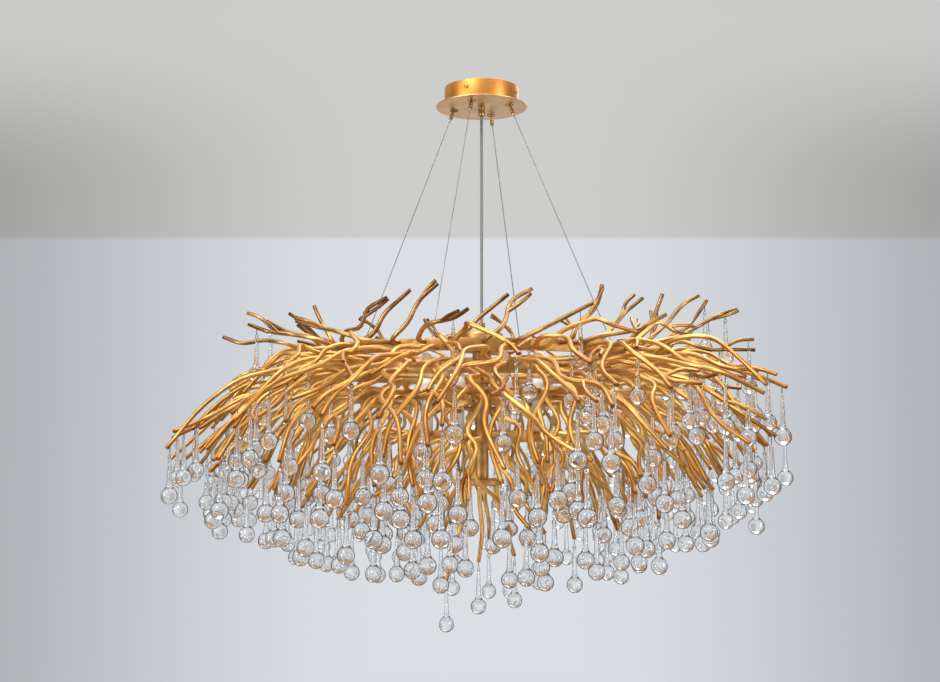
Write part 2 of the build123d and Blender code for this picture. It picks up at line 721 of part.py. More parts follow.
def twig_points(rim_r, root, root_z, tip, reach, tip_z, bow):
    """Corners of a twig that leaves its rim square and wanders to its tip."""
    foot_r = rim_r + TWIG_FOOT
    side = chance.choice((-1, 1))
    points = [polar(rim_r + BRAZE_GAP, root, root_z), polar(foot_r, root, root_z)]
    run = math.dist(points[-1], polar(reach, tip, tip_z))
    corners = max(1, min(MOST_CORNERS, int(run / CORNER_PITCH)))
    calm = min(1.0, run / (4 * CORNER_PITCH))
    for share in [(k + 0.9) / (corners + 0.9) for k in range(corners)]:
        r = foot_r + (reach - foot_r) * share
        sway = math.degrees(side * calm * WIGGLE * chance.uniform(0.4, 1.0) / r)
        z = root_z + (tip_z - root_z) * share**1.35 + bow * math.sin(math.pi * share)
        z += calm * HEIGHT_WIGGLE * chance.uniform(-1, 1)
        points.append(polar(r, root + (tip - root) * share + sway, z))
        side = -side
    points.append(polar(reach, tip, tip_z))
    return points


def fork_points(points, angle):
    """A side twig that leaves the main one and bends back beside it."""
    a, b = np.array(points[-3], float), np.array(points[-2], float)
    tip = np.array(points[-1], float)
    start = a + (b - a) * FORK_FROM
    ahead = tip - start
    turn = math.radians(angle)
    flat = np.array(
        [
            ahead[0] * math.cos(turn) - ahead[1] * math.sin(turn),
            ahead[0] * math.sin(turn) + ahead[1] * math.cos(turn),
            ahead[2],
        ]
    )
    lift = np.array([0, 0, WIGGLE * chance.uniform(-0.4, 1.0)])
    return [start, start + flat * 0.5 + lift, start + flat * 0.5 + lift + ahead * 0.42]


def try_twig(make, fork):
    """Draw a twig until one is clear of all the others, or give it up."""
    for _ in range(TRIES):
        points = make()
        line = rounded(points)
        if min(bends(points)) < TIGHTEST * TWIG_R:
            continue
        if thicket.room(dense(line), [TWIG_R]) < BRANCH_GAP:
            continue
        twig = Twig(points, TWIG_R)
        side = chance.choice((-1, 1))
        if fork:
            for angle in (side * FORK_ANGLE, -side * FORK_ANGLE):
                branch = fork_points(points, angle)
                if thicket.room(dense(rounded(branch)), [FORK_R]) >= BRANCH_GAP:
                    twig.forks.append(branch)
                    break
        thicket.add(line, TWIG_R)
        for branch in twig.forks:
            thicket.add(rounded(branch), FORK_R)
        return twig
    return None


def crest_twig(tip, reach, height):
    """Crest twig: rises from the upper rim and leans away from the middle."""

    def make():
        lean = CREST_LEAN if 180 < tip % 360 < 236 else -CREST_LEAN
        root = tip + lean * chance.uniform(0.5, 1.25)
        rise = chance.uniform(-6, 14)
        return twig_points(UPPER_R, root, UPPER_Z - ROW_HIGH, tip, reach, height, rise)

    return make


def row_twig(row, spray, place):
    """Twig of a spray: roots lie close together and the tips fan out."""
    middle = (spray + row.shift) * 360 / row.sprays
    across = place - (row.per_spray - 1) / 2
    root_pitch = math.degrees((2 * TWIG_R + 3 * BRANCH_GAP) / row.rim_r)

    def make():
        root = middle + across * root_pitch * chance.uniform(1.0, 1.4)
        lean = 2 * across / (row.per_spray - 1)
        tip = middle + lean * row.fan / 2 * chance.uniform(0.7, 1.3) + chance.uniform(-4, 4)
        reach = chance.uniform(*row.reach)
        spread = (reach - row.reach[0]) / (row.reach[1] - row.reach[0])
        deep = row.tip_z[1] + (row.tip_z[0] - row.tip_z[1]) * spread
        height = deep + chance.uniform(-0.3, 0.3) * abs(row.tip_z[1] - row.tip_z[0])
        height += 0.6 * row.twist * lean + row.side_rise * math.cos(math.radians(tip))
        bow = row.bow * chance.uniform(0.3, 1.4) + row.twist * lean
        return twig_points(row.rim_r, root, row.root_z, tip, reach, height, bow)

    return make


def tuft_twig(tip, reach, height):
    """Tuft twig: drops from the end cap and splays a little."""
    root_z = TUBE_END - CAP_T - BRAZE_GAP
    root_r = CAP_R - TWIG_R - CAP_T * 0.4

    def make():
        sway = math.degrees(WIGGLE * chance.uniform(-0.5, 0.5) / reach)
        middle_r = root_r + (reach - root_r) * 0.45
        middle_z = root_z - TWIG_FOOT + (height - root_z + TWIG_FOOT) * 0.5
        return [
            polar(root_r, tip, root_z),
            polar(root_r, tip, root_z - TWIG_FOOT),
            polar(middle_r, tip + sway, middle_z),
            polar(reach, tip, height),
        ]

    return make


tiers = {"crest": [try_twig(crest_twig(*tip), k % 2 == 0) for k, tip in enumerate(CREST_TIPS)]}
for row in ROWS:
    grown = []
    for spray in range(row.sprays):
        for place in range(row.per_spray):
            number = spray * row.per_spray + place
            grown.append(try_twig(row_twig(row, spray, place), number % row.fork_every == 1))
    tiers[row.name] = grown
tiers["tuft"] = [try_twig(tuft_twig(*tip), False) for tip in TUFT_TIPS]
tiers = {name: [t for t in grown if t] for name, grown in tiers.items()}

# The rims take room as well, once the twigs stand on them
for rim_r, rim_z in ((UPPER_R, UPPER_Z), (MIDDLE_R, MIDDLE_Z), (LOWER_R, LOWER_Z), (BOTTOM_R, BOTTOM_Z)):
    ring = [polar(rim_r - RIM_T / 2, turn, rim_z - RIM_H / 2) for turn in range(0, 361, 5)]
    thicket.add(ring, RIM_H / 2)


@dataclass
class Hanging:
    """A drop's place: under a point of a twig, turned to the twig's heading."""

    tier: str
    place: tuple
    heading: float

    def turn(self):
        """Turn of the drop round the crown, from 0 to 360 degrees."""
        return math.degrees(math.atan2(self.place[1], self.place[0])) % 360

    def reach(self):
        """Distance of the drop from the crown's axis."""
        return math.hypot(self.place[0], self.place[1])

    def balls(self, swing=0.0):
        """Points down the drop and their radii, leaned by a swing in degrees."""
        x, y, z = self.place
        lean, turn = math.radians(swing), math.radians(self.heading)
        points = []
        radii = []
        for depth in np.linspace(DROP_TAB_R, BALL_DEPTH - DROP_BALL_R, 8):
            points.append(depth)
            radii.append(STEM_LOW_R)
        points.append(BALL_DEPTH)
        radii.append(DROP_BALL_R)
        at = [
            (
                x + d * math.sin(lean) * math.cos(turn),
                y + d * math.sin(lean) * math.sin(turn),
                z - HOLE_DEPTH - d * math.cos(lean),
            )
            for d in points
        ]
        if not swing:
            at.append((x, y, z - EYE_DEPTH))
            radii.append(EYE_R)
        return at, radii

    def take_room(self):
        """Add the drop to the thicket as a stem and a ball."""
        x, y, z = self.place
        ball_z = z - HOLE_DEPTH - BALL_DEPTH
        thicket.add([(x, y, z - EYE_NECK), (x, y, ball_z + DROP_BALL_R)], EYE_R)
        thicket.add([(x, y, ball_z), (x, y, ball_z - 1e-3)], DROP_BALL_R)


def hang_under(tier, line, radius, inset):
    """Place of a drop at a distance from the tip of a twig's line, or None."""
    back = [np.array(p, float) for p in reversed(line)]
    for a, b in zip(back, back[1:]):
        run = np.linalg.norm(b - a)
        if inset > run:
            inset -= run
            continue
        at = a + (b - a) * inset / run
        ahead = (a - b) / run
        level = math.hypot(ahead[0], ahead[1])
        heading = math.degrees(math.atan2(ahead[1], ahead[0]))
        if level < math.cos(math.radians(52)):
            return Hanging(tier, tuple(back[0]), heading)
        return Hanging(tier, (at[0], at[1], at[2] - radius / level), heading)
    return None


# Drops: first one near each tip, then more along the twigs where there is room
hangings = []
bars = [
    (name, twig, line, radius)
    for name, grown in tiers.items()
    for twig in grown
    for line, radius in [(rounded(twig.points), TWIG_R)]
    + [(rounded(f), FORK_R) for f in twig.forks]
]
drops_of = {row.name: row.drops for row in ROWS} | {"crest": CREST_DROPS, "tuft": TUFT_DROPS}
for pass_number in range(max(drops_of.values())):
    for name, twig, line, radius in bars:
        length = sum(np.linalg.norm(b - a) for a, b in zip(line, line[1:]))
        first = TIP_INSET + pass_number * DROP_PITCH
        last = min(first + DROP_PITCH, max(TIP_INSET + 1, DROP_REACH * length))
        for inset in np.arange(first, last, DROP_STEP) if pass_number < drops_of[name] else ():
            spot = hang_under(name, line, radius, inset)
            if spot and thicket.room(*spot.balls()) >= DROP_GAP:
                spot.take_room()
                hangings.append(spot)
                twig.eyes.append(spot)
                break


def swings_free(spot):
    """Whether a drop can swing both ways without touching anything else."""
    x, y, z = spot.place
    own = (abs(thicket.start[:, :2] - (x, y)) < 1e-6).all(1)
    return all(
        thicket.room(*spot.balls(s * SWING * k / 4), bar=~own) >= DROP_GAP
        for s in (-1, 1)
        for k in range(1, 5)
    )


# The outermost free drop of each sector swings by itself
swinging = []
for sector in range(SWING_DROPS):
    inside = [h for h in hangings if int(h.turn() * SWING_DROPS / 360) == sector]
    free = [h for h in inside if swings_free(h)]
    if free:
        swinging.append(max(free, key=Hanging.reach))

# Eye: a soldered wire neck and ring under the twig
with BuildPart() as eye:
    with Locations((0, 0, EYE_ROOT)):
        Cylinder(EYE_NECK_R, EYE_ROOT + EYE_NECK, align=TOP)
    with BuildSketch(Plane.YZ):
        with Locations((0, -EYE_DEPTH)):
            Circle(EYE_R)
            Circle(EYE_R - EYE_WIRE, mode=Mode.SUBTRACT)
    extrude(amount=EYE_WIRE / 2, both=True)

# Glass drop: pierced flat tab, slim stem, flare and ball
ball_join = math.sqrt(DROP_BALL_R**2 - DROP_JOIN_R**2)
join_z = -BALL_DEPTH + ball_join
with BuildPart() as drop:
    with BuildSketch(Plane.XZ):
        with BuildLine():
            tab_foot = (STEM_TOP_R, -math.sqrt(DROP_TAB_R**2 - STEM_TOP_R**2))
            flare_top = (STEM_LOW_R, join_z + DROP_FLARE)
            flare_mid = (
                STEM_LOW_R + (DROP_JOIN_R - STEM_LOW_R) * 0.28,
                join_z + DROP_FLARE * 0.42,
            )
            ThreePointArc((0, DROP_TAB_R), (DROP_TAB_R, 0), tab_foot)
            Line(tab_foot, flare_top)
            ThreePointArc(flare_top, flare_mid, (DROP_JOIN_R, join_z))
            ThreePointArc(
                (DROP_JOIN_R, join_z), (DROP_BALL_R, -BALL_DEPTH), (0, -DROP_L)
            )
            Line((0, -DROP_L), (0, DROP_TAB_R))
        make_face()
    revolve(axis=Axis.Z)
    with Locations((0, DROP_TAB_T / 2, -DROP_TAB_R), (0, -DROP_TAB_T / 2 - DROP_TAB_R, -DROP_TAB_R)):
        Box(
            3 * DROP_TAB_R,
            DROP_TAB_R,
            3 * DROP_TAB_R,
            align=(Align.CENTER, Align.MIN, Align.MIN),
            mode=Mode.SUBTRACT,
        )
    Cylinder(DROP_HOLE_R, 4 * DROP_TAB_R, rotation=(90, 0, 0), mode=Mode.SUBTRACT)


def bar(points, radius):
    """Round bar swept along straight runs and tangent bends."""
    with BuildPart() as swept:
        with BuildLine() as route:
            FilletPolyline(*[tuple(p) for p in points], radius=bends(points))
        with BuildSketch(Plane(route.line @ 0, z_dir=route.line % 0)):
            Circle(radius)
        sweep(path=route.line)
    return swept.part.solid()


def twig_solid(twig):
    """Twig joined to its forks and to the eyes under it."""
    main = bar(twig.points, twig.radius)
    pieces = [bar(branch, FORK_R) for branch in twig.forks]
    pieces += [eye.part.solid().moved(Location(spot.place, (0, 0, spot.heading))) for spot in twig.eyes]
    return main.fuse(*pieces) if pieces else main


def drop_at(spot):
    """Glass drop hanging on the eye at a spot."""
    x, y, z = spot.place
    return drop.part.solid().moved(Location((x, y, z - HOLE_DEPTH), (0, 0, spot.heading)))


for name, grown in tiers.items():
    write_group([twig_solid(t) for t in grown], f"{name}_twigs")
for name in [n for n in tiers if n not in LOW_TIERS]:
    resting = [drop_at(h) for h in hangings if h.tier == name and h not in swinging]
    write_group(resting, f"{name}_drops")
lowest = [drop_at(h) for h in hangings if h.tier in LOW_TIERS and h not in swinging]
write_group(lowest, "under_drops")
for number, spot in enumerate(swinging, 1):
    write(Part(drop_at(spot).wrapped), f"swing_drop_{number}")

print("twigs", {name: len(grown) for name, grown in tiers.items()})
print("forks", sum(len(t.forks) for grown in tiers.values() for t in grown))
print("drops", len(hangings), "swinging", len(swinging))
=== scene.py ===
import logging
import math
import random
from dataclasses import dataclass, field
from enum import Enum
from typing import Callable, Iterable, Optional, Sequence

import bmesh
import bpy
import numpy as np
from mathutils import Matrix, Vector


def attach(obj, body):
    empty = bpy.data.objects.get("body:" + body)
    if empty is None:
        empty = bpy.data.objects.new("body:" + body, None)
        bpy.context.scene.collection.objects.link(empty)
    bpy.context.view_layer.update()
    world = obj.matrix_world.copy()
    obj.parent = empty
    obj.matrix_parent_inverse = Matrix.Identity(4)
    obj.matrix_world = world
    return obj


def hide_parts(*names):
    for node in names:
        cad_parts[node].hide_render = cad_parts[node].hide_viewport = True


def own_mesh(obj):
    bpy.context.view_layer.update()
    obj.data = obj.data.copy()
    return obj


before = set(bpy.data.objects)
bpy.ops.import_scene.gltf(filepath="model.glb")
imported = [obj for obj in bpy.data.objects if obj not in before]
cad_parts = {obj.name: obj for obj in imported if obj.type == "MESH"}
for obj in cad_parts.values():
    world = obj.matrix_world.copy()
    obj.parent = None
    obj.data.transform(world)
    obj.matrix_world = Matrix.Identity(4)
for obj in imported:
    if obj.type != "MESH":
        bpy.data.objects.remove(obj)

logging.basicConfig(level=logging.INFO, format="%(name)s: %(message)s")
log = logging.getLogger("chandelier")

MM = 0.001
SHARP = 38.0
BLACK = (0.0, 0.0, 0.0, 1.0)
Point = tuple[float, float, float]
Span = tuple[float, float]
Outline = list[Span]
Colour = tuple[float, float, float]


def polar(radius: float, turn: float, z: float) -> Point:
    """Point at a radius, a turn in degrees from +X, and a height, in millimetres."""
    a = math.radians(turn)
    return (radius * math.cos(a), radius * math.sin(a), z)


def turned(turn: float, place: Point = (0.0, 0.0, 0.0)) -> Matrix:
    """Matrix that turns about the vertical by degrees and then moves to a place."""
    return Matrix.Translation(place) @ Matrix.Rotation(math.radians(turn), 4, "Z")


def aimed(start: Sequence[float], end: Sequence[float]) -> Matrix:
    """Matrix whose +Z runs from one point towards another.

    Args:
        start: Point that becomes the origin.
        end: Point that +Z aims at.

    Returns:
        A matrix with no scale.
    """
    way = Vector(end) - Vector(start)
    return Matrix.Translation(start) @ way.to_track_quat("Z", "Y").to_matrix().to_4x4()


@dataclass(frozen=True)
class Layout:
    """Sizes in millimetres that several pieces share; a wheel has its rim's radius and top and its collar's top."""

    drum_r: float = 61.0
    drum_h: float = 30.0
    drum_wall: float = 1.2
    disc_r: float = 75.0
    disc_t: float = 2.0
    side_screw_turn: float = 66.0
    side_screw_z: float = -12.0
    cables: int = 4
    cable_turn: float = -20.0
    cable_r: float = 0.75
    cable_tail: float = 5.2
    seat_pcr: float = 48.0
    pivot_z: float = -30.6
    lug_pcr: float = 219.0
    stop_z: float = -435.53
    cord_r: float = 2.4
    cord_tail: float = 12.0
    bore_gap: float = 0.3
    gland_l: float = 15.0
    crown_raise: float = 150.0
    cup_top: float = -402.0
    tube_top: float = -436.0
    tube_end: float = -640.0
    cap_r: float = 36.0
    cap_t: float = 10.0
    plate_z: float = -500.0
    rim_t: float = 5.0
    rim_h: float = 18.0
    upper: tuple[float, float, float] = (236.0, -430.0, -451.0)
    middle: tuple[float, float, float] = (230.0, -462.0, -470.0)
    lower: tuple[float, float, float] = (208.0, -500.0, -520.0)
    bottom: tuple[float, float, float] = (130.0, -562.0, -574.0)

    @property
    def floor_z(self) -> float:
        """Height of the disc's underside."""
        return -self.drum_h - self.disc_t

    @property
    def cable_turns(self) -> list[float]:
        """Turns of the four cables about the axis."""
        return [self.cable_turn + k * 360 / self.cables for k in range(self.cables)]

    def pivot(self, turn: float) -> Point:
        """Centre of the gripper's ball on one cable."""
        return polar(self.seat_pcr, turn, self.pivot_z)

    def stop(self, turn: float) -> Point:
        """Centre of the cable's end ball under the upper wheel's lug."""
        return polar(self.lug_pcr, turn, self.stop_z)


LAYOUT = Layout()


class NodeSheet:
    """Short way of placing and joining nodes in one tree."""

    def __init__(self, tree: bpy.types.NodeTree) -> None:
        """Keep the tree that the nodes go into."""
        self.tree = tree

    def add(self, kind: str, **inputs: object) -> bpy.types.Node:
        """Place a node, with properties in lower case and sockets by their names.

        Args:
            kind: The node's type name.
            **inputs: Properties of the node, or values and links for its sockets, with underscores for spaces.

        Returns:
            The new node.
        """
        node = self.tree.nodes.new(kind)
        for key, value in inputs.items():
            if hasattr(node, key) and key[0].islower():
                setattr(node, key, value)
        for key, value in inputs.items():
            if hasattr(node, key) and key[0].islower():
                continue
            place = int(key[1:]) if key[0] == "_" else key.replace("_", " ")
            self.feed(node.inputs[place], value)
        return node

    def feed(self, socket: bpy.types.NodeSocket, value: object) -> None:
        """Link a socket to another one, or set its plain value."""
        if isinstance(value, bpy.types.NodeSocket):
            self.tree.links.new(value, socket)
        else:
            socket.default_value = value

    def math(self, operation: str, a: object, b: object = 0.0, c: object = 0.0) -> bpy.types.NodeSocket:
        """Result of a Math node on two or three values or sockets."""
        return self.add("ShaderNodeMath", operation=operation, _0=a, _1=b, _2=c).outputs[0]

    def even(self, value: object, start: float, end: float, first: float = 0.0, last: float = 1.0,
             kind: str = "LINEAR") -> bpy.types.NodeSocket:
        """Even change from a first value at the start to a last value at the end.

        Args:
            value: What is looked at.
            start: Value at which the change starts.
            end: Value at which it ends.
            first: Result up to the start.
            last: Result from the end on.
            kind: How the result changes in between.

        Returns:
            The result's socket.
        """
        return self.add("ShaderNodeMapRange", interpolation_type=kind, Value=value, From_Min=start, From_Max=end,
                        To_Min=first, To_Max=last).outputs[0]

    def ramp(self, value: object, start: float, end: float, first: float = 0.0,
             last: float = 1.0) -> bpy.types.NodeSocket:
        """Soft step from a first value at the start to a last value at the end."""
        return self.even(value, start, end, first, last, "SMOOTHSTEP")

    def blend(self, share: object, a: object, b: object) -> bpy.types.NodeSocket:
        """Colour between two colours at a share."""
        node = self.add("ShaderNodeMix", data_type="RGBA")
        self.feed(node.inputs[0], share)
        self.feed(node.inputs[6], a)
        self.feed(node.inputs[7], b)
        return node.outputs[2]


def socket(tree: bpy.types.NodeTree, name: str, kind: str, value: object = None, out: bool = False) -> str:
    """Make one named socket of a node group.

    Args:
        tree: The group.
        name: The socket's name.
        kind: The socket's type, without its common first word.
        value: Value that an input starts with.
        out: Whether the socket is an output.

    Returns:
        The socket's identifier.
    """
    made = tree.interface.new_socket(
        name, in_out="OUTPUT" if out else "INPUT", socket_type=f"NodeSocket{kind}"
    )
    if value is not None:
        made.default_value = value
    return made.identifier


CLOUD_EDGE: Span = (0.32, 0.68)
GRAIN_HEIGHT = 0.35
GROOVE_RUN = 2.6
GROOVE_LOT = 90.0
GROOVE_EDGE: Span = (0.4, 0.66)
# Twigs get darker from TIP_FROM of their length on to the tip, and again over the cut end from CUT_FROM.
TIP_FROM = 0.4
CUT_FROM = 0.985
TIP_SHADE = 0.5


class Effect(Enum):
    """Surface effects that several finishes share, each one node group."""

    PATINA = "patina"
    TURNED_LINES = "turned_lines"
    BARK = "bark"

    def group(self) -> bpy.types.NodeTree:
        """The effect's node group, built on first use."""
        found = bpy.data.node_groups.get(self.value)
        return found or getattr(self, f"_{self.value}")()

    def _start(self) -> tuple[bpy.types.NodeTree, NodeSheet, bpy.types.Node, bpy.types.Node]:
        """Empty group with its sheet, group input and group output."""
        tree = bpy.data.node_groups.new(self.value, "ShaderNodeTree")
        sheet = NodeSheet(tree)
        return tree, sheet, tree.nodes.new("NodeGroupInput"), tree.nodes.new("NodeGroupOutput")

    def _patina(self) -> bpy.types.NodeTree:
        """Cloudy mask and fine relief of handled plating."""
        tree, sheet, given, result = self._start()
        socket(tree, "Cloud Scale", "Float", 60.0)
        socket(tree, "Grain Scale", "Float", 900.0)
        socket(tree, "Mask", "Float", out=True)
        socket(tree, "Height", "Float", out=True)
        place = sheet.add("ShaderNodeTexCoord").outputs["Object"]
        cloud = sheet.add("ShaderNodeTexNoise", Vector=place, Scale=given.outputs[0], Detail=4.0)
        grain = sheet.add("ShaderNodeTexNoise", Vector=place, Scale=given.outputs[1], Detail=2.0)
        sheet.feed(result.inputs[0], sheet.even(cloud.outputs[0], *CLOUD_EDGE))
        sheet.feed(result.inputs[1], sheet.math("MULTIPLY_ADD", grain.outputs[0], GRAIN_HEIGHT))
        return tree

    def _turned_lines(self) -> bpy.types.NodeTree:
        """Fine rings that a lathe leaves round the vertical axis."""
        tree, sheet, given, result = self._start()
        socket(tree, "Pitch Scale", "Float", 1500.0)
        socket(tree, "Lines", "Float", out=True)
        place = sheet.add("ShaderNodeTexCoord").outputs["Object"]
        parts = sheet.add("ShaderNodeSeparateXYZ", Vector=place).outputs
        across = sheet.math("SQRT", sheet.math("ADD", sheet.math("POWER", parts[0], 2.0),
                                               sheet.math("POWER", parts[1], 2.0)))
        along = sheet.add("ShaderNodeCombineXYZ", X=across, Y=parts[2], Z=0.0).outputs[0]
        lines = sheet.add("ShaderNodeTexNoise", Vector=along, Scale=given.outputs[0], Detail=3.0)
        sheet.feed(result.inputs[0], lines.outputs[0])
        return tree

    def _bark(self) -> bpy.types.NodeTree:
        """Long grooves of a cast twig, with a mask that grows towards its tip."""
        tree, sheet, given, result = self._start()
        socket(tree, "Groove Scale", "Float", 2.0)
        socket(tree, "Grooves", "Float", out=True)
        socket(tree, "Tip", "Float", out=True)
        round_it = sheet.add("ShaderNodeAttribute", attribute_name="round").outputs["Vector"]
        along = sheet.add("ShaderNodeAttribute", attribute_name="along").outputs["Fac"]
        lot = sheet.add("ShaderNodeAttribute", attribute_name="lot").outputs["Fac"]
        run = sheet.math("MULTIPLY", along, GROOVE_RUN)
        run = sheet.math("ADD", run, sheet.math("MULTIPLY", lot, GROOVE_LOT))
        drawn = sheet.add("ShaderNodeCombineXYZ", Z=run).outputs[0]
        at = sheet.add("ShaderNodeVectorMath", operation="ADD", _0=round_it, _1=drawn).outputs[0]
        grooves = sheet.add("ShaderNodeTexNoise", Vector=at, Scale=given.outputs[0], Detail=2.5).outputs[0]
        sheet.feed(result.inputs[0], sheet.even(grooves, *GROOVE_EDGE))
        tips = sheet.even(along, TIP_FROM, 1.0, 0.0, TIP_SHADE)
        cut = sheet.even(along, CUT_FROM, 1.0, 0.0, TIP_SHADE)
        sheet.feed(result.inputs[1], sheet.math("ADD", tips, cut))
        return tree


class Finish:
    """A finish that makes its material once."""

    name: str

    def material(self) -> bpy.types.Material:
        """The finish's material, built on first use."""
        label = f"{self.name}_finish"
        found = bpy.data.materials.get(label)
        if found:
            return found
        made = bpy.data.materials.new(label)
        made.use_nodes = True
        sheet = NodeSheet(made.node_tree)
        self.dress(sheet, made.node_tree.nodes["Principled BSDF"])
        return made

    def dress(self, sheet: NodeSheet, shader: bpy.types.Node) -> None:
        """Set the shader's values and patterns."""
        raise NotImplementedError


@dataclass(frozen=True)
class Plating(Finish):
    """Plated or polished metal with cloudy tone and fine relief; on twigs also painted shade in the grooves and
    darker ends.
    """

    name: str
    bright: Colour
    deep: Colour
    roughness: float
    spread: float = 0.12
    relief: float = 0.06
    clouds: float = 45.0
    turned: bool = False
    twig: bool = False
    twig_cloud: float = 0.25
    groove_painted_shade: float = 0.55
    turned_cloud: float = 0.4
    line_shade: float = 0.5
    relief_depth: float = 0.0006

    def dress(self, sheet: NodeSheet, shader: bpy.types.Node) -> None:
        """Mix the two tones over the surface and vary roughness and relief with them."""
        patina = sheet.add("ShaderNodeGroup", node_tree=Effect.PATINA.group(), Cloud_Scale=self.clouds)
        tone = patina.outputs["Mask"]
        height = patina.outputs["Height"]
        if self.twig:
            bark = sheet.add("ShaderNodeGroup", node_tree=Effect.BARK.group())
            # Cloudy tone plus the darkening towards the tip and at the cut end.
            cloud_and_tip_tone = sheet.math("ADD", sheet.math("MULTIPLY", tone, self.twig_cloud), bark.outputs["Tip"])
            # Painted shade: the grooves darken the base colour as well as sinking the relief.
            tone = sheet.math("MULTIPLY_ADD", bark.outputs["Grooves"], self.groove_painted_shade, cloud_and_tip_tone)
            tone = sheet.math("MINIMUM", tone, 1.0)
            height = sheet.math("SUBTRACT", height, bark.outputs["Grooves"])
        if self.turned:
            lines = sheet.add("ShaderNodeGroup", node_tree=Effect.TURNED_LINES.group()).outputs["Lines"]
            tone = sheet.math("ADD", sheet.math("MULTIPLY", tone, self.turned_cloud),
                              sheet.math("MULTIPLY", lines, self.line_shade))
            height = lines
        rough = sheet.even(patina.outputs["Mask"], 0.0, 1.0, self.roughness - self.spread / 2,
                           self.roughness + self.spread / 2)
        sheet.feed(shader.inputs["Base Color"], sheet.blend(tone, (*self.bright, 1.0), (*self.deep, 1.0)))
        sheet.feed(shader.inputs["Roughness"], rough)
        bump = sheet.add("ShaderNodeBump", Strength=self.relief, Distance=self.relief_depth, Height=height)
        sheet.feed(shader.inputs["Normal"], bump.outputs[0])
        shader.inputs["Metallic"].default_value = 1.0


@dataclass(frozen=True)
class Glass(Finish):
    """Hand-made clear or frosted glass with a slightly wavy skin."""

    name: str
    colour: Colour
    roughness: float
    index: float = 1.5
    waves: float = 70.0
    relief: float = 0.05
    relief_depth: float = 0.004
    # How far a painted dark rim darkens the colour at the glass's edge, standing in for the darker surroundings
    # that glass shows there.
    rim: float = 0.0
    painted_rim_edge: Span = (0.44, 0.66)

    def dress(self, sheet: NodeSheet, shader: bpy.types.Node) -> None:
        """Clear body with a gentle relief and, where a rim share is set, a painted dark rim in place of the darker
        surroundings seen at the edge.
        """
        place = sheet.add("ShaderNodeTexCoord").outputs["Object"]
        wavy = sheet.add("ShaderNodeTexNoise", Vector=place, Scale=self.waves, Detail=1.0)
        bump = sheet.add("ShaderNodeBump", Strength=self.relief, Distance=self.relief_depth, Height=wavy.outputs[0])
        sheet.feed(shader.inputs["Normal"], bump.outputs[0])
        shader.inputs["Base Color"].default_value = (*self.colour, 1.0)
        if self.rim:
            # Painted shade: the colour darkens towards the silhouette, in place of dark surroundings bent into view
            # at the rim.
            edge = sheet.add("ShaderNodeLayerWeight", Blend=0.5).outputs["Facing"]
            dark = sheet.ramp(edge, *self.painted_rim_edge, 0.0, self.rim)
            tone = sheet.blend(dark, (*self.colour, 1.0), BLACK)
            sheet.feed(shader.inputs["Base Color"], tone)
        shader.inputs["Roughness"].default_value = self.roughness
        shader.inputs["IOR"].default_value = self.index
        shader.inputs["Transmission Weight"].default_value = 1.0


@dataclass(frozen=True)
class Sheath(Finish):
    """Moulded plastic or glazed ceramic with a faint mottle."""

    name: str
    colour: Colour
    shade: Colour
    roughness: float
    coat: float = 0.0
    clouds: float = 120.0
    mottle: float = 0.6
    spread: float = 0.12
    relief: float = 0.05
    relief_depth: float = 0.0005

    def dress(self, sheet: NodeSheet, shader: bpy.types.Node) -> None:
        """Mottle the colour and roughness and add a fine skin."""
        patina = sheet.add("ShaderNodeGroup", node_tree=Effect.PATINA.group(), Cloud_Scale=self.clouds)
        tone = sheet.math("MULTIPLY", patina.outputs["Mask"], self.mottle)
        sheet.feed(shader.inputs["Base Color"], sheet.blend(tone, (*self.colour, 1.0), (*self.shade, 1.0)))
        rough = sheet.even(patina.outputs["Mask"], 0.0, 1.0, self.roughness, self.roughness + self.spread)
        sheet.feed(shader.inputs["Roughness"], rough)
        bump = sheet.add("ShaderNodeBump", Strength=self.relief, Distance=self.relief_depth,
                         Height=patina.outputs["Height"])
        sheet.feed(shader.inputs["Normal"], bump.outputs[0])
        shader.inputs["Coat Weight"].default_value = self.coat


TWIG_GOLD = Plating("twig_gold", (1.0, 0.62, 0.19), (0.30, 0.10, 0.012), 0.37, 0.14, 0.42, 38.0, twig=True)
# The crest's gold is a darker copy of the twig gold: painted shade for crest twigs seen backlit against the wall.
CREST_SHADED_GOLD = Plating("crest_gold", (0.70, 0.42, 0.16), (0.13, 0.052, 0.012), 0.38, 0.14, 0.30, 38.0, twig=True)
FRAME_GOLD = Plating("frame_gold", (0.62, 0.36, 0.13), (0.42, 0.22, 0.07), 0.46)
# The small fittings take a darker copy of the canopy gold: painted shade for their shadows and dark reflections.
SHADED_FITTING_GOLD = Plating("fitting_brass", (0.55, 0.33, 0.13), (0.28, 0.15, 0.05), 0.30)
DRUM_GOLD = Plating("drum_gold", (0.78, 0.335, 0.075), (0.57, 0.225, 0.042), 0.44, 0.08, 0.10, 30.0, turned=True)
DISC_GOLD = Plating("disc_gold", (0.84, 0.53, 0.27), (0.66, 0.38, 0.17), 0.40, 0.10, 0.08, 30.0, turned=True)
WIRE_STEEL = Plating("wire_steel", (0.34, 0.33, 0.32), (0.20, 0.19, 0.185), 0.40)
NICKEL = Plating("nickel", (0.72, 0.66, 0.56), (0.52, 0.46, 0.38), 0.22)
ZINC = Plating("zinc", (0.66, 0.67, 0.68), (0.48, 0.49, 0.51), 0.42)
# The drops' glass carries the painted dark rim.
CLEAR_GLASS = Glass("clear_glass", (0.985, 0.992, 0.99), 0.0, 1.52, rim=0.997)
BULB_GLASS = Glass("bulb_glass", (1.0, 0.95, 0.86), 0.28, 1.3)
CORD_SHEATH = Sheath("cord_sheath", (0.22, 0.215, 0.20), (0.16, 0.155, 0.15), 0.34)
GLAZED_WHITE = Sheath("glazed_white", (0.82, 0.80, 0.74), (0.74, 0.72, 0.65), 0.22, 0.3)
TERMINAL_WHITE = Sheath("terminal_white", (0.80, 0.79, 0.75), (0.70, 0.69, 0.65), 0.5)


SIDE_SHARE = 0.45


